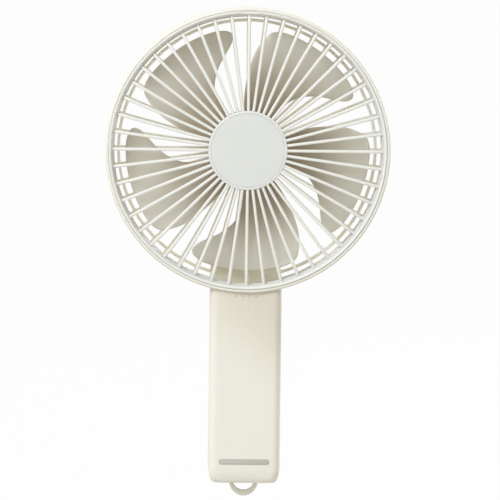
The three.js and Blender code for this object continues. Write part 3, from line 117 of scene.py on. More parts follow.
class Value:
    """One output socket of a material's graph, with arithmetic."""

    def __init__(self, finish, socket):
        self.finish = finish
        self.socket = socket

    def _math(self, operation, first, second):
        return self.finish.node("Math", {"operation": operation}, {0: first, 1: second})

    def __add__(self, other):
        return self._math("ADD", self, other)

    def __radd__(self, other):
        return self._math("ADD", other, self)

    def __sub__(self, other):
        return self._math("SUBTRACT", self, other)

    def __rsub__(self, other):
        return self._math("SUBTRACT", other, self)

    def __mul__(self, other):
        return self._math("MULTIPLY", self, other)

    def __rmul__(self, other):
        return self._math("MULTIPLY", other, self)


class Finish:
    """A graph of shader nodes in the making, for a material or for the world."""

    def __init__(self, name, owner=None):
        self.material = owner or bpy.data.materials.new(name)
        self.material.use_nodes = True
        self.tree = self.material.node_tree
        self.tree.nodes.clear()

    def node(self, kind, settings=None, sockets=None, out=0):
        made = self.tree.nodes.new("ShaderNode" + kind)
        for name, value in (settings or {}).items():
            setattr(made, name, value)
        for name, value in (sockets or {}).items():
            if isinstance(value, Value):
                self.tree.links.new(value.socket, made.inputs[name])
            else:
                made.inputs[name].default_value = value
        return Value(self, made.outputs[out]) if len(made.outputs) else None

    def noise(self, size, detail=2.0, stretch=(1, 1, 1), roughness=0.5):
        """Cloudy values from 0 to 1 whose lumps are about size metres across."""
        here = self.node("TexCoord", out="Object")
        mapping = self.node("Mapping", {"vector_type": "POINT"}, {
            "Vector": here, "Scale": tuple(share / size for share in stretch),
        })
        return self.node("TexNoise", {}, {
            "Vector": mapping, "Scale": 1.0, "Detail": detail, "Roughness": roughness,
        })

    def blend(self, amount, first, second):
        return self.node("Mix", {"data_type": "RGBA"}, {"Factor": amount, 6: first, 7: second}, out=2)

    def bump(self, height, depth, below=None):
        sockets = {"Height": height, "Distance": depth, "Strength": 1.0}
        if below is not None:
            sockets["Normal"] = below
        return self.node("Bump", {}, sockets)

    def surface(self, colour, roughness, normal, **constants):
        sockets = {"Base Color": colour, "Roughness": roughness, "Normal": normal}
        sockets.update(constants)
        shader = self.node("BsdfPrincipled", {}, sockets)
        self.node("OutputMaterial", {}, {"Surface": shader})
        return self.material


def linear(red, green, blue):
    """A colour as it looks on a screen, 0 to 255, as the linear colour that a shader needs."""
    def share(level):
        level /= 255
        return level / 12.92 if level <= 0.04045 else ((level + 0.055) / 1.055) ** 2.4
    return (share(red), share(green), share(blue), 1.0)


print("socket arithmetic ready")

# %% [markdown]
# ## Moulded plastic
# Nearly all of the fan is injection-moulded plastic. A mould is spark-eroded, which leaves a grain a quarter
# of a millimetre across, and the melt cools unevenly, which leaves slow waves and a slight drift of colour.
# One function makes all of these finishes, and each has its own colours, grain and gloss.

# %% Plastic


def smooth_share(finish, value, start, end):
    """0 before start, 1 after end, and a soft change between them."""
    return finish.node("MapRange", {"interpolation_type": "SMOOTHSTEP"}, {
        "Value": value, "From Min": start, "From Max": end,
    })


def painted_shade_under_head(finish):
    """Painted shade on the handle under the head: darker high up, and more so on the right."""
    place = finish.node("TexCoord", out="Object")
    high = finish.node("SeparateXYZ", {}, {0: place}, out="Z")
    across = finish.node("SeparateXYZ", {}, {0: place}, out="X")
    return smooth_share(finish, high + across * 0.8, 0.04, 0.085)


def painted_shade_near_hub(finish):
    """Painted shade on a blade: darker and browner close to the axis of the head."""
    place = finish.node("TexCoord", out="Object")
    from_axis = finish.node("VectorMath", {"operation": "MULTIPLY_ADD"}, {
        0: place, 1: (1, 0, 1), 2: (0, 0, -head_z * MM),
    })
    return smooth_share(finish, finish.node("VectorMath", {"operation": "LENGTH"}, {0: from_axis}, out=1), 0.046, 0.014)


def plastic(name, colours, grain_depth, roughness, grain_size=0.25 * MM, tint=None, scatter=0.8 * MM, scattered=0.4):
    """Moulded plastic in two close colours, and a third, painted shade, where the tint's mask is 1."""
    finish = Finish(name)
    drift = finish.noise(26 * MM, detail=3)
    specks = finish.noise(0.9 * MM, detail=4)
    grain = finish.noise(grain_size, roughness=0.6)
    waves = finish.noise(15 * MM, detail=1)
    mixed = finish.blend(drift * 0.8 + specks * 0.2, linear(*colours[0]), linear(*colours[1]))
    if tint is not None:
        mixed = finish.blend(tint(finish), mixed, linear(*colours[2]))
    grained = finish.bump(grain, grain_depth, finish.bump(waves, 0.02 * MM))
    rough = roughness + (specks - 0.5) * 0.12 + (drift - 0.5) * 0.08
    constants = {
        "IOR": 1.46, "Subsurface Weight": scattered, "Subsurface Radius": (1, 0.9, 0.7), "Subsurface Scale": scatter,
    }
    return finish.surface(mixed, rough, grained, **constants)


cream = [(236, 234, 224), (232, 229, 218)]
finishes = {
    "shell": plastic("cream_plastic", cream, 0.006 * MM, 0.5),
    # The handle's third colour is painted shade, laid on high up under the head and more on the right.
    "handle": plastic("handle_plastic", cream + [(216, 209, 194)], 0.006 * MM, 0.5, tint=painted_shade_under_head),
    # The guard's cream is lighter than the shell's: painted light, which lifts the guard where it lies in shade inside
    # the head.
    "guard": plastic(
        "guard_plastic", [(252, 247, 234), (248, 242, 228)], 0.004 * MM, 0.5, scatter=3 * MM, scattered=1.0,
    ),
    "grille": plastic("grille_plastic", [(232, 232, 227), (227, 227, 222)], 0.005 * MM, 0.46),
    "disc": plastic("disc_plastic", [(223, 224, 220), (219, 220, 216)], 0.012 * MM, 0.62, 0.35 * MM),
    # The blades' third colour is painted shade, laid on close to the hub.
    "blades": plastic(
        "blade_plastic", [(226, 222, 210), (219, 215, 202), (182, 166, 144)], 0.004 * MM, 0.42, tint=painted_shade_near_hub,
    ),
    "trim": plastic("grey_plastic", [(195, 194, 184), (188, 187, 176)], 0.01 * MM, 0.6),
    "loop": plastic("loop_plastic", [(234, 235, 225), (228, 229, 218)], 0.006 * MM, 0.4),
    "gears": plastic("gear_plastic", [(240, 238, 230), (234, 231, 222)], 0.004 * MM, 0.4),
    "switch": plastic("switch_plastic", [(46, 46, 47), (38, 38, 40)], 0.01 * MM, 0.5),
    "lights": plastic("light_plastic", [(210, 204, 188), (202, 196, 180)], 0.003 * MM, 0.25),
}
print("plastics:", ", ".join(finishes))

# %% [markdown]
# ## Metal, wrap, foam and board
# Steel sheet has fine lines along the way it was rolled or turned, so its noise is stretched. Brass is the
# same in another colour. The cell's wrap is a shiny film, the pad a foam with open cells, and the boards a
# green lacquer over a faint weave.

# %% Metals


def metal(name, colour, dark_colour, roughness):
    finish = Finish(name)
    lines = finish.noise(0.4 * MM, detail=5, stretch=(1, 0.06, 1))
    stains = finish.noise(6 * MM, detail=3)
    mixed = finish.blend(lines * 0.5 + stains * 0.5, colour, dark_colour)
    rough = roughness + (stains - 0.5) * 0.15
    return finish.surface(mixed, rough, finish.bump(lines, 0.004 * MM), Metallic=1.0)


finishes["steel"] = metal("plain_steel", linear(206, 206, 203), linear(178, 178, 176), 0.34)
finishes["brass"] = metal("turned_brass", linear(214, 180, 108), linear(184, 148, 80), 0.3)

# %% Wrap, foam, lead and board


def film(name, colour, dark_colour, grain, depth, roughness):
    finish = Finish(name)
    cells = finish.noise(grain, detail=3)
    cloud = finish.noise(8 * MM)
    mixed = finish.blend(cells * 0.6 + cloud * 0.4, colour, dark_colour)
    rough = roughness + (cloud - 0.5) * 0.1
    return finish.surface(mixed, rough, finish.bump(cells, depth))


finishes["cell"] = film("cell_wrap", linear(130, 168, 186), linear(116, 152, 170), 0.6 * MM, 0.01 * MM, 0.3)
finishes["foam"] = film("pad_foam", linear(78, 78, 75), linear(52, 52, 50), 0.3 * MM, 0.08 * MM, 0.9)
finishes["lead"] = film("lead_cover", linear(164, 52, 42), linear(148, 44, 36), 0.5 * MM, 0.01 * MM, 0.45)
finishes["board"] = film("board_lacquer", linear(46, 108, 68), linear(38, 92, 58), 0.4 * MM, 0.01 * MM, 0.4)
print("finishes:", ", ".join(finishes))

# %% [markdown]
# ## Making a piece
# Every piece starts as an empty bmesh and is shaped by operators. It ends in one helper, which merges
# doubles, turns the faces outwards, shades it smooth except at real edges, and lets it ride on its body.
# Parts that are closed by themselves can be added to the same bmesh. Holes are cut by a second bmesh.

# %% Piece helpers
slots = {part["node"]: part["material_slot"] for part in frame["record"]["subparts"]}
body_of = {node: body for body, members in frame["record"]["behaviour"]["bodies"].items() for node in members}


def as_object(bm, name):
    mesh = bpy.data.meshes.new(name)
    bm.to_mesh(mesh)
    bm.free()
    made = bpy.data.objects.new(name, mesh)
    bpy.context.scene.collection.objects.link(made)
    return made


def dress(bm, name, *replaced, sharp=34, finish=None):
    """Turns a finished bmesh into a piece that stands for one or more solid parts."""
    bmesh.ops.remove_doubles(bm, verts=bm.verts, dist=0.0004 * MM)
    bmesh.ops.recalc_face_normals(bm, faces=bm.faces)
    piece = as_object(bm, name)
    piece.data.shade_smooth()
    piece.data.set_sharp_from_angle(angle=math.radians(sharp))
    slot = slots[replaced[0]]
    piece.data.materials.clear()
    piece.data.materials.append(finishes[finish or slot])
    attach(piece, body_of[replaced[0]])
    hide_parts(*replaced)
    print(f"{name}: {len(piece.data.polygons)} faces, for {', '.join(replaced)}")
    return piece


def through(bm, kind, tool=None, **settings):
    """Runs one modifier over a bmesh and returns what comes out. A tool is a second bmesh to cut with."""
    whole = as_object(bm, "whole")
    modifier = whole.modifiers.new(kind, kind)
    for name, value in settings.items():
        setattr(modifier, name, value)
    spent = [whole]
    if tool is not None:
        modifier.object = as_object(tool, "tool")
        spent.append(modifier.object)
    evaluated = whole.evaluated_get(bpy.context.evaluated_depsgraph_get())
    result = bmesh.new()
    result.from_mesh(evaluated.to_mesh())
    evaluated.to_mesh_clear()
    for each in spent:
        bpy.data.meshes.remove(each.data)
    return result


def carved(bm, tool):
    """Cuts closed shapes, all in one bmesh, out of a closed shape."""
    for each in (bm, tool):
        bmesh.ops.recalc_face_normals(each, faces=each.faces)
    return through(bm, "BOOLEAN", tool, operation="DIFFERENCE", solver="EXACT", use_self=True)


def joined(bm, other):
    """Joins two closed shapes into one skin, so that light can scatter from one into the other."""
    for each in (bm, other):
        bmesh.ops.recalc_face_normals(each, faces=each.faces)
    return through(bm, "BOOLEAN", other, operation="UNION", solver="EXACT")


def add(bm, *others):
    """Puts other bmeshes into this one."""
    for other in others:
        mesh = bpy.data.meshes.new("added")
        other.to_mesh(mesh)
        other.free()
        bm.from_mesh(mesh)
        bpy.data.meshes.remove(mesh)


print("piece helpers ready")

# %% [markdown]
# ## Shapes that everything is made of
# Most pieces are turned about an axis along Y, or are blocks with softened edges. A mould can't make a
# knife edge, so a small bevel goes on every real corner, where it catches the light as a thin line.

# %% Turned shapes, blocks and bevels
head_centre = Vector((0, 0, head_z)) * MM


def turned(bm, profile, centre=head_centre, axis=Y, across=X, steps=192):
    """Spins a closed outline of (radius, distance along the axis) points a full turn."""
    points = [bm.verts.new(centre + across * radius * MM + axis * along * MM) for radius, along in profile]
    edges = [bm.edges.new(pair) for pair in zip(points, points[1:] + points[:1])]
    bmesh.ops.spin(bm, geom=points + edges, cent=centre, axis=axis, angle=TURN, steps=steps, use_merge=True)
    bmesh.ops.remove_doubles(bm, verts=bm.verts, dist=0.0002 * MM)
    bmesh.ops.dissolve_degenerate(bm, edges=bm.edges, dist=0.0001 * MM)


def soften(bm, width, angle=30, segments=2, edges=None):
    """Rounds every edge that turns by more than the angle."""
    limit = math.radians(angle)
    chosen = [e for e in (edges or bm.edges) if len(e.link_faces) == 2 and e.calc_face_angle(0) > limit]
    bmesh.ops.bevel(
        bm, geom=chosen, offset=width * MM, segments=segments, profile=0.5, affect="EDGES",
        material=-1, clamp_overlap=True,
    )


def block(bm, low, high):
    """A block between two corners."""
    low, high = Vector(low) * MM, Vector(high) * MM
    shape = Matrix.Translation((low + high) / 2) @ Matrix.Diagonal((*(high - low), 1))
    return bmesh.ops.create_cube(bm, size=1, matrix=shape)["verts"]


def rod(bm, radius, start, end, steps=32):
    """A round bar between two points."""
    start, end = Vector(start) * MM, Vector(end) * MM
    turn_to = (end - start).to_track_quat("Z", "Y").to_matrix().to_4x4()
    bmesh.ops.create_cone(
        bm, cap_ends=True, segments=steps, radius1=radius * MM, radius2=radius * MM,
        depth=(end - start).length, matrix=Matrix.Translation((start + end) / 2) @ turn_to,
    )


def long_edges(bm, direction, limit=1.0):
    """Edges that run along an axis for more than the limit."""
    return [e for e in bm.edges if abs((e.verts[0].co - e.verts[1].co).dot(direction)) > limit * MM]


def copies_round(bm, count, centre=head_centre, axis=Y):
    """Repeats everything in even steps about an axis."""
    bmesh.ops.spin(
        bm, geom=bm.verts[:] + bm.edges[:] + bm.faces[:], cent=centre, axis=axis,
        angle=TURN * (count - 1) / count, steps=count - 1, use_duplicate=True,
    )


def arc(across, along, radius, start, end, steps):
    """Points along an arc in a plane, with angles in degrees."""
    return [(
        across + radius * math.cos(math.radians(start + (end - start) * step / steps)),
        along + radius * math.sin(math.radians(start + (end - start) * step / steps)),
    ) for step in range(steps + 1)]


print("shape helpers ready")

# %% [markdown]
# ## The head's shell
# The head is a short tube. Its front edge has a small step, which hides the joint with the grille, and its
# back edge is rounded and turns in to a flange that the rear guard sits against. Two lugs run down into the
# handle, where screws hold them. The tube is turned as one outline, and the lugs are blocks.

# %% Head shell
head_bore = head_radius - 1.35
lip_step, lip_depth = 0.5, 1.0
back_round = 2.6
flange_reach, flange_thickness = 3.0, 1.4
lug_inner, lug_outer, lug_low, lug_back = 9.25, 12.45, 66.0, 8.0
neck_screw_x, neck_screw_z = 10.85, 71.0
board_front, board_back, board_high = 1.2, 2.4, 75.9
gap = 0.3
bm = bmesh.new()
turned(bm, [
    (head_bore, head_front), (head_radius - lip_step, head_front),
    (head_radius - lip_step, head_front + lip_depth), (head_radius, head_front + lip_depth + lip_step),
    *arc(head_radius - back_round, head_back - back_round, back_round, 0, 90, 10),
    (head_radius - flange_reach, head_back), (head_radius - flange_reach, head_back - flange_thickness),
    (head_bore, head_back - flange_thickness),
])
soften(bm, 0.16, segments=3)
lugs = bmesh.new()
for side in (-1, 1):
    near, far = sorted((side * lug_inner, side * lug_outer))
    block(lugs, (near, -4, lug_low), (far, lug_back, 80))
cutters = bmesh.new()
block(cutters, (-lug_inner - 0.5, board_front - gap, 60), (lug_inner + 0.5, board_back + gap, board_high + gap))
turned(cutters, [(0, -20), (head_radius - 0.7, -20), (head_radius - 0.7, 20), (0, 20)], steps=96)
for side in (-1, 1):
    rod(cutters, 1.05, (side * neck_screw_x, 2.8, neck_screw_z), (side * neck_screw_x, 9, neck_screw_z))
add(bm, carved(lugs, cutters))
head_shell = dress(bm, "head_shell_piece", "head_shell")

# %% [markdown]
# ## The front grille
# The grille is one moulding: an outer ring with a sloped inner edge, 48 straight spokes and a hub with a
# raised rim. One spoke is a block that widens outwards, with rounded long edges, and it is repeated about
# the axis. A notch at the top lets a fingernail lift the grille out.

# %% Front grille
SPOKES = 48
grille_front = head_front - 0.4
ring_outer, ring_flat, ring_inner = head_bore - 0.1, head_bore - 1.3, head_bore - 2.4
hub_outer, hub_inner = 15.8, 14.8
hub_back = grille_front + 2.8
spoke_half_at_hub, spoke_half_at_ring = 0.57, 0.64
bend_from, bend_depth = 46.0, 2.0
bm = bmesh.new()
turned(bm, [
    (ring_outer, grille_front + 0.3), (ring_outer, grille_front + 4.5), (ring_flat, grille_front + 4.5),
    (ring_inner, grille_front + 4.2), (ring_inner, grille_front + 3.4), (ring_flat + 0.05, grille_front + 0.9),
    *arc(ring_flat + 0.75, grille_front + 0.7, 0.7, 195, 295, 7), (ring_outer - 0.25, grille_front + 0.05),
])
soften(bm, 0.1, angle=35)
notch = bmesh.new()
block(notch, (-3.2, grille_front - 1, head_z + ring_outer - 2), (3.2, grille_front + 0.7, head_z + ring_outer + 1))
bm = carved(bm, notch)
turned(bm, [
    (0, hub_back - 0.8), (hub_inner, hub_back - 0.8), (hub_inner, grille_front + 0.08),
    (hub_inner + 0.08, grille_front), *arc(hub_outer - 0.45, grille_front + 0.45, 0.45, 270, 360, 6),
    (hub_outer, hub_back), (0, hub_back),
])
spokes = bmesh.new()
block(spokes, (hub_outer - 0.5, grille_front + 0.15, head_z - 1), (ring_outer - 0.9, grille_front + 2.15, head_z + 1))
for radius in (46.5, 48.5, 50.0, 51.3, 52.6):
    bmesh.ops.bisect_plane(
        spokes, geom=spokes.verts[:] + spokes.edges[:] + spokes.faces[:], plane_co=X * radius * MM, plane_no=X,
    )
for vert in spokes.verts:
    outward = (vert.co.x / MM - hub_outer) / (ring_inner - hub_outer)
    half = spoke_half_at_hub + (spoke_half_at_ring - spoke_half_at_hub) * outward
    vert.co.z = head_centre.z + math.copysign(half * MM, vert.co.z - head_centre.z)
    beyond = max(0, vert.co.x / MM - bend_from)
    vert.co.y += bend_depth * (beyond / (ring_outer - bend_from)) ** 2 * MM
soften(spokes, 0.5, segments=4, edges=long_edges(spokes, X))
copies_round(spokes, SPOKES)
add(bm, spokes)
front_grille = dress(bm, "front_grille_piece", "front_grille")

# %% [markdown]
# ## The cover disc
# The round cover in the middle of the grille is a thin disc with a soft edge and a dome so slight that only
# its reflections show it. It is turned from one outline, and it lies in the rim of the hub.

# %% Cover disc
disc_radius = hub_inner - 0.06
disc_front = grille_front + 0.04
bm = bmesh.new()
turned(bm, [
    (0, disc_front), (disc_radius * 0.5, disc_front), (disc_radius - 0.6, disc_front + 0.01),
    (disc_radius - 0.25, disc_front + 0.02), (disc_radius, disc_front + 0.09),
    (disc_radius, disc_front + 1.6), (0, disc_front + 1.6),
])
grille_disc = dress(bm, "grille_disc_piece", "grille_disc")

# %% [markdown]
# ## The rear guard
# The guard behind the blades has spokes in line with those in front, a thin ring near the edge and a web
# that closes the bottom over the handle. Its hub carries the motor. The web's lower edge follows the head.

# %% Rear guard
guard_back = head_back - flange_thickness - 0.3
guard_front = guard_back - 2.2
guard_outer = head_bore - 0.3
guard_hub, guard_rim = 15.4, 13.6
web_half, web_front, web_top, web_corner = half_width - 0.2, 6.6, 88.0, 3.0
spoke_back = guard_back - 0.15
rib_radii = (48.4, 49.9, 51.6)
bm = bmesh.new()
turned(bm, [
    (guard_outer - 1.35, guard_front), (guard_outer, guard_front), (guard_outer, spoke_back),
    (guard_outer - 1.35, spoke_back),
])
turned(bm, [(51.15, guard_front), (52.4, guard_front), (52.4, spoke_back), (51.15, spoke_back)])
turned(bm, [
    (0, guard_back - 1.2), (guard_hub, guard_back - 1.2), (guard_hub, guard_back + 1.6),
    (guard_rim, guard_back + 1.6), (guard_rim, guard_back), (0, guard_back),
])
soften(bm, 0.18, angle=40)
spokes = bmesh.new()
block(spokes, (guard_rim + 1.2, guard_front, head_z - 0.6), (guard_outer - 0.5, spoke_back, head_z + 0.6))
soften(spokes, 0.3, edges=long_edges(spokes, X))
copies_round(spokes, SPOKES)
bm = joined(bm, spokes)
web = bmesh.new()
block(web, (-web_half, web_front, 76.0), (web_half, guard_back, web_top))
soften(web, web_corner, segments=8, edges=[
    e for e in long_edges(web, Y) if e.verts[0].co.z > 80 * MM
])
for cut in range(-5, 6):
    bmesh.ops.bisect_plane(
        web, geom=web.verts[:] + web.edges[:] + web.faces[:], plane_co=X * cut * 2.2 * MM, plane_no=X,
    )
for vert in web.verts:
    if vert.co.z < 77 * MM:
        vert.co.z = head_centre.z - math.sqrt((guard_outer * MM) ** 2 - vert.co.x ** 2)
soften(web, 0.2, angle=40)
channel = bmesh.new()
block(channel, (-2.4, 7.4, 85), (2.4, spoke_back, head_z - 11.8))
ribs, kept = bmesh.new(), bmesh.new()
for radius in rib_radii:
    turned(ribs, [
        (radius - 0.35, web_front + 0.5), (radius - 0.2, web_front - 0.2), (radius + 0.2, web_front - 0.2),
        (radius + 0.35, web_front + 0.5),
    ])
block(kept, (-web_half + 0.4, 0, 70), (web_half - 0.4, guard_back, web_top - 0.4))
ribs = through(ribs, "BOOLEAN", kept, operation="INTERSECT", solver="EXACT")
bm = joined(joined(joined(bm, web), channel), ribs)
rear_guard = dress(bm, "rear_guard_piece", "rear_guard", finish="guard")

# %% Cap over the rear hub
bm = bmesh.new()
cap_radius, cap_front, cap_under, cap_back = guard_rim - 0.3, guard_back + 0.3, guard_back + 1.4, guard_back + 2.3
turned(bm, [
    (0, cap_under), (11.8, cap_under), (11.8, cap_front), (cap_radius, cap_front), (cap_radius, cap_under),
    *arc(cap_radius - 0.6, cap_back - 0.6, 0.6, 0, 90, 6), (0, cap_back),
])
rear_hub_cap = dress(bm, "rear_hub_cap_piece", "rear_hub_cap")

# %% [markdown]
# ## The impeller
# Five broad blades stand on a cupped hub. A blade is a flat grid that is moved onto a twisted and cambered
# surface: each row across the blade has its own radius and its own leading and trailing angle. It then gets
# its thickness, and subdivision rounds its edges as the mould does. The other four are copies.

# %% Impeller
BLADES = 5
blade_root, blade_tip = 14.85, 49.0
blade_span_shares = [0, 0.151, 0.312, 0.469, 0.64, 0.798, 0.915, 0.978, 1]
blade_lead_degrees = [50.5, 49.8, 49.4, 43.9, 35.6, 26.8, 25, 27.2, 33]
blade_trail_degrees = [95.8, 95, 93, 90.3, 88.3, 84.8, 81.3, 79.3, 74]
blade_lead_depth, blade_trail_depth = 3.4, -6.4
blade_tip_draw = 1.2
blade_camber = 1.4
blade_thickness = 1.3
blade_columns = 9
last_row = len(blade_span_shares) - 1

sheet = bmesh.new()
bmesh.ops.create_grid(sheet, x_segments=blade_columns, y_segments=last_row, size=0.5)
for vert in sheet.verts:
    chord = vert.co.x + 0.5
    row = round((vert.co.y + 0.5) * last_row)
    radius = blade_root + (blade_tip - blade_root) * blade_span_shares[row]
    lead, trail = blade_lead_degrees[row], blade_trail_degrees[row]
    angle = math.radians(lead + (trail - lead) * chord)
    span = row / last_row
    front = blade_lead_depth - blade_tip_draw * span / 2
    back = blade_trail_depth + blade_tip_draw * span
    depth = front + (back - front) * chord + blade_camber * 4 * chord * (1 - chord)
    vert.co = head_centre + Vector((radius * math.cos(angle), depth, radius * math.sin(angle))) * MM
blade = through(sheet, "SOLIDIFY", thickness=blade_thickness * MM, offset=0, use_even_offset=True)
blade = through(blade, "SUBSURF", levels=2, render_levels=2)
copies_round(blade, BLADES)
bm = bmesh.new()
turned(bm, [
    (1.15, -9.2), *arc(12.7, -7.0, 2.2, -90, 0, 8), (15.6, 4.5), (14.1, 4.5), (13.4, -6.6), (12.3, -7.7),
    (3.2, -7.7), (3.2, -6.0), (1.15, -6.0),
])
soften(bm, 0.2, angle=40, edges=[e for e in bm.edges if e.verts[0].co.y > 4 * MM])
add(bm, blade)
fan_impeller = dress(bm, "fan_impeller_piece", "fan_impeller")

# %% [markdown]
# ## The handle
# The handle is split along a plane behind its middle. Each half starts from a block whose upright edges are
# rounded. The block is sliced into rows near the base, and the rows are drawn in to a soft round. The top
# edge is lowered onto the round of the head. The skin then gets its wall's thickness, and holes are cut.

# %% A skin for the handle
corner_radius = 3.2
base_inset, base_height = 2.5, 6.4
saddle_radius = head_radius + 0.02
wall = 1.6
tongue = 0.6
seam_front, seam_back = 3.35, 3.65


def drawn_in(value, straight, inset):
    """Moves a round corner inwards, and shrinks the straight side between two corners."""
    if abs(value) <= straight:
        return value * (straight - inset) / straight
    return value - math.copysign(inset, value)


def slice_at(bm, place, direction):
    bmesh.ops.bisect_plane(
        bm, geom=bm.verts[:] + bm.edges[:] + bm.faces[:], plane_co=place * MM, plane_no=direction,
    )


def handle_skin(thinner, front, back):
    """The outside of the handle, or a skin inside it, between two depths. Its top is open."""
    floor = thinner + 0.2 if thinner else 0
    across, deep, corner = half_width - thinner, half_depth - thinner, corner_radius - thinner
    bm = bmesh.new()
    block(bm, (-across, -deep, floor), (across, deep, 84))
    soften(bm, corner, segments=10, edges=long_edges(bm, Z))
    steps = 8
    angles = [step / steps * math.pi / 2 for step in range(1, steps + 1)]
    rows = [floor + (base_height - floor) * (1 - math.cos(angle)) for angle in angles]
    for row in rows + [25, 45, 65]:
        slice_at(bm, Z * row, Z)
    for step in range(-5, 6):
        slice_at(bm, X * step * 2, X)
    for vert in bm.verts:
        height = vert.co.z / MM
        if height < base_height - 0.001:
            share = 1 - (height - floor) / (base_height - floor)
            inset = base_inset * (1 - math.sqrt(max(0, 1 - share ** 2)))
            vert.co.x = drawn_in(vert.co.x, (across - corner) * MM, inset * MM)
            vert.co.y = drawn_in(vert.co.y, (deep - corner) * MM, inset * MM)
        elif height > 80:
            vert.co.z = head_centre.z - math.sqrt((saddle_radius * MM) ** 2 - vert.co.x ** 2)
    lids = [f for f in bm.faces if all(v.co.z > 75 * MM for v in f.verts)]
    bmesh.ops.delete(bm, geom=lids, context="FACES")
    for depth, direction in ((front, -Y), (back, Y)):
        bmesh.ops.bisect_plane(
            bm, geom=bm.verts[:] + bm.edges[:] + bm.faces[:], plane_co=Y * depth * MM,
            plane_no=direction, clear_outer=True,
        )
    bmesh.ops.recalc_face_normals(bm, faces=bm.faces)
    if sum(f.normal.dot(f.calc_center_median() - Z * 0.04) for f in bm.faces) < 0:
        bmesh.ops.reverse_faces(bm, faces=bm.faces)
    return bm


def walled(skin, thickness):
    return through(skin, "SOLIDIFY", thickness=thickness * MM, offset=-1, use_even_offset=True)


print("handle helpers ready")

# %% Front half of the handle
light_z = 75.2
light_places = [(i - 1.5) * 2.7 for i in range(4)]
inlay_z, inlay_half_length, inlay_radius = 8.6, 9.05, 1.1
base_screw_x, base_screw_z = 10.0, 8.0
bm = walled(handle_skin(0, -20, seam_front), wall)
soften(bm, 0.22, angle=50, segments=3)
cutters = bmesh.new()
for x in light_places:
    rod(cutters, 0.36, (x, -15, light_z), (x, -9, light_z))
inlay_front, inlay_back = -15, -half_depth + 1.0
rod(cutters, inlay_radius, (-inlay_half_length, inlay_front, inlay_z), (-inlay_half_length, inlay_back, inlay_z))
block(cutters, (-inlay_half_length, inlay_front, inlay_z - inlay_radius), (inlay_half_length, inlay_back, inlay_z + inlay_radius))
rod(cutters, inlay_radius, (inlay_half_length, inlay_front, inlay_z), (inlay_half_length, inlay_back, inlay_z))
for side in (-1, 1):
    near, far = sorted((side * 2.3, side * 6.05))
    block(cutters, (near, -2.3, -3), (far, 2.3, 4))
bm = carved(bm, cutters)
for side in (-1, 1):
    turned(bm, [(1.05, -11), (2.4, -11), (2.4, seam_front), (1.05, seam_front)],
           centre=Vector((side * base_screw_x, 0, base_screw_z)) * MM, steps=32)
    near, far = sorted((side * 6.05, side * 7.7))
    bearing = bmesh.new()
    block(bearing, (near, -1.8, 0.9), (far, 1.8, 4.6))
    pin_hole = bmesh.new()
    rod(pin_hole, 1.0, (-12, 0, 2.9), (12, 0, 2.9))
    add(bm, carved(bearing, pin_hole))
add(bm, walled(handle_skin(wall - tongue, seam_front - 1.05, seam_front + 1.05), tongue))
handle_front = dress(bm, "handle_front_piece", "handle_front_shell", finish="handle")

# %% Rear half of the handle
screw_sink = 1.3
crank_z, button_z = 34.0, 71.0
usb_y = 7.0
bm = walled(handle_skin(0, seam_back, 20), wall)
soften(bm, 0.22, angle=50, segments=3)
cutters = bmesh.new()
seat = half_depth - screw_sink
for side in (-1, 1):
    for x, z in ((side * base_screw_x, base_screw_z), (side * neck_screw_x, neck_screw_z)):
        rod(cutters, 2.05, (x, seat, z), (x, half_depth + 3, z), steps=48)
rod(cutters, 4.05, (0, 8, crank_z), (0, 15, crank_z), steps=64)
rod(cutters, 3.65, (0, 8, button_z), (0, 15, button_z), steps=64)
bm = carved(bm, cutters)
cutters = bmesh.new()
usb_hole = bmesh.new()
block(usb_hole, (-4.6, usb_y - 1.75, -2), (4.6, usb_y + 1.75, 4))
soften(usb_hole, 1.6, segments=6, edges=long_edges(usb_hole, Z))
bm = carved(bm, usb_hole)
bm = carved(bm, walled(handle_skin(wall - tongue - 0.3, seam_back - 1, seam_back + 1.05), 1.5))
for side in (-1, 1):
    for x, z, near in ((side * base_screw_x, base_screw_z, seam_back), (side * neck_screw_x, neck_screw_z, lug_back + 0.3)):
        turned(bm, [(1.05, near), (2.4, near), (2.4, seat + 0.6), (2.05, seat + 0.6), (2.05, seat), (1.05, seat)],
               centre=Vector((x, 0, z)) * MM, steps=48)
handle_rear = dress(bm, "handle_rear_piece", "handle_rear_shell", finish="handle")

# %% [markdown]
# ## Grip inlay, lights and loop
# A grey bar is set into the front near the base. Four light pipes end just below the skin under the head.
# The loop under the base is a half ring, thicker at the bottom, which swings on two pins.

# %% Grip inlay
bm = bmesh.new()
inlay_end, inlay_half = inlay_half_length + 1.06, 1.06
block(bm, (-inlay_end, -half_depth + 0.04, inlay_z - inlay_half), (inlay_end, -half_depth + 0.84, inlay_z + inlay_half))
soften(bm, inlay_half - 0.02, segments=8, edges=long_edges(bm, Y, 0.5))
soften(bm, 0.1, angle=60)
grip_inlay = dress(bm, "grip_inlay_piece", "grip_inlay")

# %% Light pipes
bm = bmesh.new()
block(bm, (-4.5, -1.1, light_z - 1.35), (4.5, 0.1, light_z + 0.45))
for x in light_places:
    turned(bm, [(0, -half_depth + 0.04), (0.2, -half_depth + 0.05), (0.34, -half_depth + 0.14), (0.34, -0.5), (0, -0.5)],
           centre=Vector((x, 0, light_z)) * MM, steps=24)
light_pipes = dress(bm, "light_pipes_piece", "led_light_pipes")

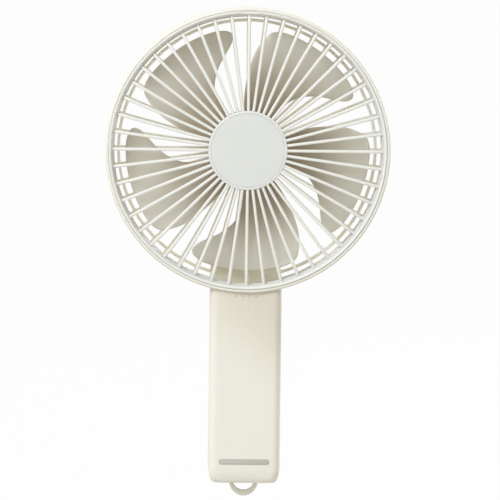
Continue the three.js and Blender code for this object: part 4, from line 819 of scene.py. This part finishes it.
# %% Strap loop
loop_half, loop_bottom, loop_inner_half, loop_inner_bottom = 5.8, 6.1, 4.15, 3.6
loop_pivot = 2.9
loop_thick_half = 0.95
bm = bmesh.new()
rings = []
path_steps = 28
ring_steps = 16
for step in range(path_steps + 1):
    angle = math.pi * step / path_steps
    outer = Vector((-loop_half * math.cos(angle), 0, -loop_bottom * math.sin(angle)))
    inner = Vector((-loop_inner_half * math.cos(angle), 0, -loop_inner_bottom * math.sin(angle)))
    rings.append((outer, inner))
top_outer = Vector((0, 0, loop_pivot))
rings = [(rings[0][0] + top_outer, rings[0][1] + top_outer)] + rings + [(rings[-1][0] + top_outer, rings[-1][1] + top_outer)]
loops = []
for outer, inner in rings:
    ring_middle, reach = (outer + inner) / 2, (outer - inner) / 2
    section = []
    for k in range(ring_steps):
        angle = TURN * (k + 0.5) / ring_steps
        across = math.copysign(abs(math.cos(angle)) ** 0.6, math.cos(angle))
        deep = math.copysign(abs(math.sin(angle)) ** 0.6, math.sin(angle))
        section.append(bm.verts.new((ring_middle + reach * across + Y * loop_thick_half * deep) * MM))
    loops.append([bm.edges.new((section[k], section[(k + 1) % ring_steps])) for k in range(ring_steps)])
for first, second in zip(loops, loops[1:]):
    bmesh.ops.bridge_loops(bm, edges=first + second)
for cap in (loops[0], loops[-1]):
    bmesh.ops.contextual_create(bm, geom=cap)
for side in (-1, 1):
    rod(bm, 0.75, (side * 4.9, 0, loop_pivot), (side * 7.7, 0, loop_pivot), steps=24)
    rod(bm, loop_thick_half, (side * loop_inner_half, 0, loop_pivot), (side * loop_half, 0, loop_pivot), steps=32)
strap_loop = dress(bm, "strap_loop_piece", "strap_loop", finish="loop")

# %% [markdown]
# ## The crank
# The crank folds flat against the back. Its arm is a fork, rounded at the top and open at the bottom, with
# the knob lying in the slot between its cheeks. The knob swings out on a pin and spins on its own spindle.

# %% Crank arm
arm_back, arm_top = 12.6, 18.2
arm_half = 7.4
arm_low = 2.6
slot_half, slot_top = 5.2, 27.6
hinge_y, hinge_z = 16.6, 6.0
bm = bmesh.new()
block(bm, (-arm_half, arm_back, arm_low), (arm_half, arm_top, crank_z))
rounded = bmesh.new()
rod(rounded, arm_half, (0, arm_back, crank_z), (0, arm_top, crank_z), steps=96)
for each in (bm, rounded):
    bmesh.ops.recalc_face_normals(each, faces=each.faces)
soften(bm, 1.6, segments=6, edges=[e for e in long_edges(bm, Y) if e.verts[0].co.z < 5 * MM])
bm = through(bm, "BOOLEAN", rounded, operation="UNION", solver="EXACT")
bmesh.ops.remove_doubles(bm, verts=bm.verts, dist=0.001 * MM)
slot = bmesh.new()
block(slot, (-slot_half, 5, -5), (slot_half, 25, slot_top))
soften(slot, 0.8, segments=4, edges=[e for e in long_edges(slot, Y) if e.verts[0].co.z > 20 * MM])
bm = carved(bm, slot)
soften(bm, 0.5, angle=60, segments=4)
cutters = bmesh.new()
rod(cutters, 1.15, (-6.7, hinge_y, hinge_z), (6.7, hinge_y, hinge_z))
rod(cutters, 2.75, (0, arm_top - 1.05, crank_z), (0, 22, crank_z), steps=64)
rod(cutters, 2.65, (0, 8, crank_z), (0, arm_back + 3.6, crank_z), steps=64)
rod(cutters, 0.9, (0, arm_back, crank_z), (0, 20, crank_z))
crank_arm = dress(carved(bm, cutters), "crank_arm_piece", "crank_arm")

# %% Knob, its swivel, washer and pin
knob_low, knob_high = 10.3, 24.9
knob_neck, knob_full = 3.3, 4.1
knob_centre = Vector((0, hinge_y, 0)) * MM
side_profile = [
    (knob_neck + (knob_full - knob_neck) * math.sin(share * math.pi / 2), knob_low + 0.5 + 13.1 * share)
    for share in (step / 10 for step in range(11))
]
bm = bmesh.new()
turned(bm, [
    (1.55, knob_low), (knob_neck - 0.5, knob_low), *side_profile,
    *arc(knob_full - 1.0, knob_high - 1.0, 1.0, 0, 90, 6), (2.55, knob_high), (2.55, knob_high - 1.5),
    (1.55, knob_high - 1.5),
], centre=knob_centre, axis=Z, steps=96)
soften(bm, 0.15, angle=50)
knob_grip = dress(bm, "knob_grip_piece", "knob_grip")

bm = bmesh.new()
turned(bm, [(1.25, -4.95), (3.15, -4.95), (3.3, -4.8), (3.3, 4.8), (3.15, 4.95), (1.25, 4.95)],
       centre=Vector((0, hinge_y, hinge_z)) * MM, axis=X, across=Z, steps=64)
rod(bm, 1.3, (0, hinge_y, 7.6), (0, hinge_y, 24.2), steps=48)
knob_swivel = dress(bm, "knob_swivel_piece", "knob_swivel")

bm = bmesh.new()
turned(bm, [(1.45, 23.65), (2.3, 23.65), (2.3, 24.4), (1.95, 24.75), (0, 24.75), (0, 24.4), (1.45, 24.4)],
       centre=knob_centre, axis=Z, steps=64)
knob_washer = dress(bm, "knob_washer_piece", "knob_washer")

bm = bmesh.new()
rod(bm, 1.0, (-6.55, hinge_y, hinge_z), (6.55, hinge_y, hinge_z), steps=48)
soften(bm, 0.1, angle=60)
knob_pin = dress(bm, "knob_pin_piece", "knob_pin")

# %% Bush, button and socket
bm = bmesh.new()
turned(bm, [(2.75, 9.65), (5.4, 9.65), (5.4, 10.25), (3.9, 10.25), (3.9, 12.05), (3.75, 12.2), (2.75, 12.2)],
       centre=Z * crank_z * MM, steps=96)
crank_bush = dress(bm, "crank_bush_piece", "crank_bush")

bm = bmesh.new()
turned(bm, [
    (0, 6.8), (1.5, 6.8), (1.5, 9.45), (4.3, 9.45), (4.3, 10.25), (3.4, 10.25),
    *arc(2.9, 11.7, 0.5, 0, 75, 5), (1.6, 12.27), (0, 12.3),
], centre=Z * button_z * MM, steps=96)
power_button = dress(bm, "power_button_piece", "power_button")

bm = bmesh.new()
block(bm, (-4.45, usb_y - 1.6, 0.4), (4.45, usb_y + 1.6, 7.7))
soften(bm, 1.45, segments=8, edges=long_edges(bm, Z))
hollow = bmesh.new()
block(hollow, (-4.1, usb_y - 1.25, -2), (4.1, usb_y + 1.25, 7.0))
soften(hollow, 1.1, segments=8, edges=long_edges(hollow, Z))
bm = carved(bm, hollow)
contact = bmesh.new()
block(contact, (-3.08, usb_y - 0.35, 1.3), (3.08, usb_y + 0.35, 7.3))
soften(contact, 0.1, angle=60)
add(bm, contact)
usb_socket = dress(bm, "usb_socket_piece", "usb_socket")

# %% [markdown]
# ## Screws
# All screws are the same shape in different sizes: a low round head with a cross recess and a plain shank.
# The head is turned, and the cross is cut by two thin wedges.

# %% Screws


def screw(node, radius, length, head, head_height, facing):
    low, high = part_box(node)
    low, high = low / MM, high / MM
    x, z = (low.x + high.x) / 2, (low.z + high.z) / 2
    outer = high.y if facing > 0 else low.y
    inner = low.y if facing > 0 else high.y
    bm = bmesh.new()
    turned(bm, [
        (0, outer), (head * 0.55, outer - facing * head_height * 0.06),
        (head * 0.85, outer - facing * head_height * 0.3), (head, outer - facing * head_height * 0.7),
        (head, outer - facing * head_height), (radius, outer - facing * head_height),
        (radius, inner + facing * radius * 0.6), (radius * 0.4, inner), (0, inner),
    ], centre=Vector((x, 0, z)) * MM, steps=48)
    cross = bmesh.new()
    arm, thin, deep = head * 0.56, head * 0.13, head_height * 0.6
    for wide, tall in ((arm, thin), (thin, arm)):
        shape = block(
            cross, (x - wide, min(outer - facing * deep, outer + facing), z - tall),
            (x + wide, max(outer - facing * deep, outer + facing), z + tall),
        )
        for vert in shape:
            if abs(vert.co.y / MM - (outer - facing * deep)) < 0.01:
                vert.co.x = (x + (vert.co.x / MM - x) * 0.55) * MM
                vert.co.z = (z + (vert.co.z / MM - z) * 0.55) * MM
    return dress(carved(bm, cross), node + "_piece", node)


for node in ("neck_screw_left", "neck_screw_right"):
    screw(node, 0.9, 7.6, 1.9, 1.0, 1)
for node in ("base_screw_left", "base_screw_right"):
    screw(node, 0.9, 13, 1.9, 1.0, 1)
screw("crank_screw", 0.75, 4.6, 2.6, 0.9, 1)

# %% [markdown]
# ## The inner parts
# The cell, the boards, the gears, the generator and the motor are closed in by the shells. Their solid
# parts already have the right shape, so they stay and get the finishes made above.

# %% Finishes for the solid parts
for node, solid in nodes.items():
    for material_slot in solid.material_slots:
        material_slot.material = finishes[slots[node]]
print("dressed", len(nodes), "solid parts")

# %% [markdown]
# ## Floor and light
# The photograph is a product picture on pure white. The floor and the world shine white to the camera, and
# the floor keeps a trace of the fan's shadow. A broad soft lamp stands to the left above the camera, with a
# weaker one on the right, so the right-hand side of each round form falls into a soft shade.

# %% Floor and world
floor_glow = 0.97
floor_bm = bmesh.new()
bmesh.ops.create_grid(floor_bm, x_segments=1, y_segments=1, size=30, matrix=Matrix.Translation(Z * -40 * MM))
floor = as_object(floor_bm, "floor")


def seen_directly(finish):
    """1 for rays from the camera and for mirrored rays, 0 for the rays that light a surface."""
    rays = [finish.node("LightPath", out=f"Is {kind} Ray") for kind in ("Camera", "Glossy", "Transmission")]
    return finish.node("Math", {"operation": "MINIMUM"}, {0: rays[0] + rays[1] + rays[2], 1: 1.0})


paint = Finish("floor_paint")
lit = paint.node("BsdfDiffuse", {}, {"Color": linear(214, 212, 206)})
glow = paint.node("Emission", {}, {"Color": (1, 1, 1, 1), "Strength": 1.0})
paint.node("OutputMaterial", {}, {
    "Surface": paint.node("MixShader", {}, {0: seen_directly(paint) * floor_glow, 1: lit, 2: glow}),
})
floor.data.materials.append(paint.material)

world = bpy.data.worlds.new("studio")
bpy.context.scene.world = world
air = Finish("studio", world)
from_left, from_right = (0.86, 0.85, 0.81, 1), (0.54, 0.51, 0.45, 1)
direction = air.node("TexCoord", out="Generated")
sideways = air.node("SeparateXYZ", {}, {0: direction}, out="X")
ambient = air.blend(air.node("MapRange", {}, {"Value": sideways, "From Min": -1.0, "From Max": 1.0}), from_left, from_right)
tint = air.blend(seen_directly(air), ambient, (1, 1, 1, 1))
air.node("OutputWorld", {}, {"Surface": air.node("Background", {}, {"Color": tint, "Strength": 1.0})})
print("floor and world ready")

# %% Lamps


def lamp(name, place, size, power, colour, target=(0, 0, 110)):
    data = bpy.data.lights.new(name, "AREA")
    data.shape = "SQUARE"
    data.size = size
    data.energy = power
    data.color = colour
    made = bpy.data.objects.new(name, data)
    bpy.context.scene.collection.objects.link(made)
    made.location = place
    away = Vector(place) - Vector(target) * MM
    made.rotation_euler = away.to_track_quat("Z", "Y").to_euler()
    return made


cool = (0.85, 0.91, 1.0)
lamp("key", (-0.68, -1.06, 1.08), 0.6, 15, cool)
lamp("rim", (1.04, 1.04, 0.42), 0.6, 13, cool)
bpy.context.scene.view_settings.view_transform = "Standard"
print("lamps ready")
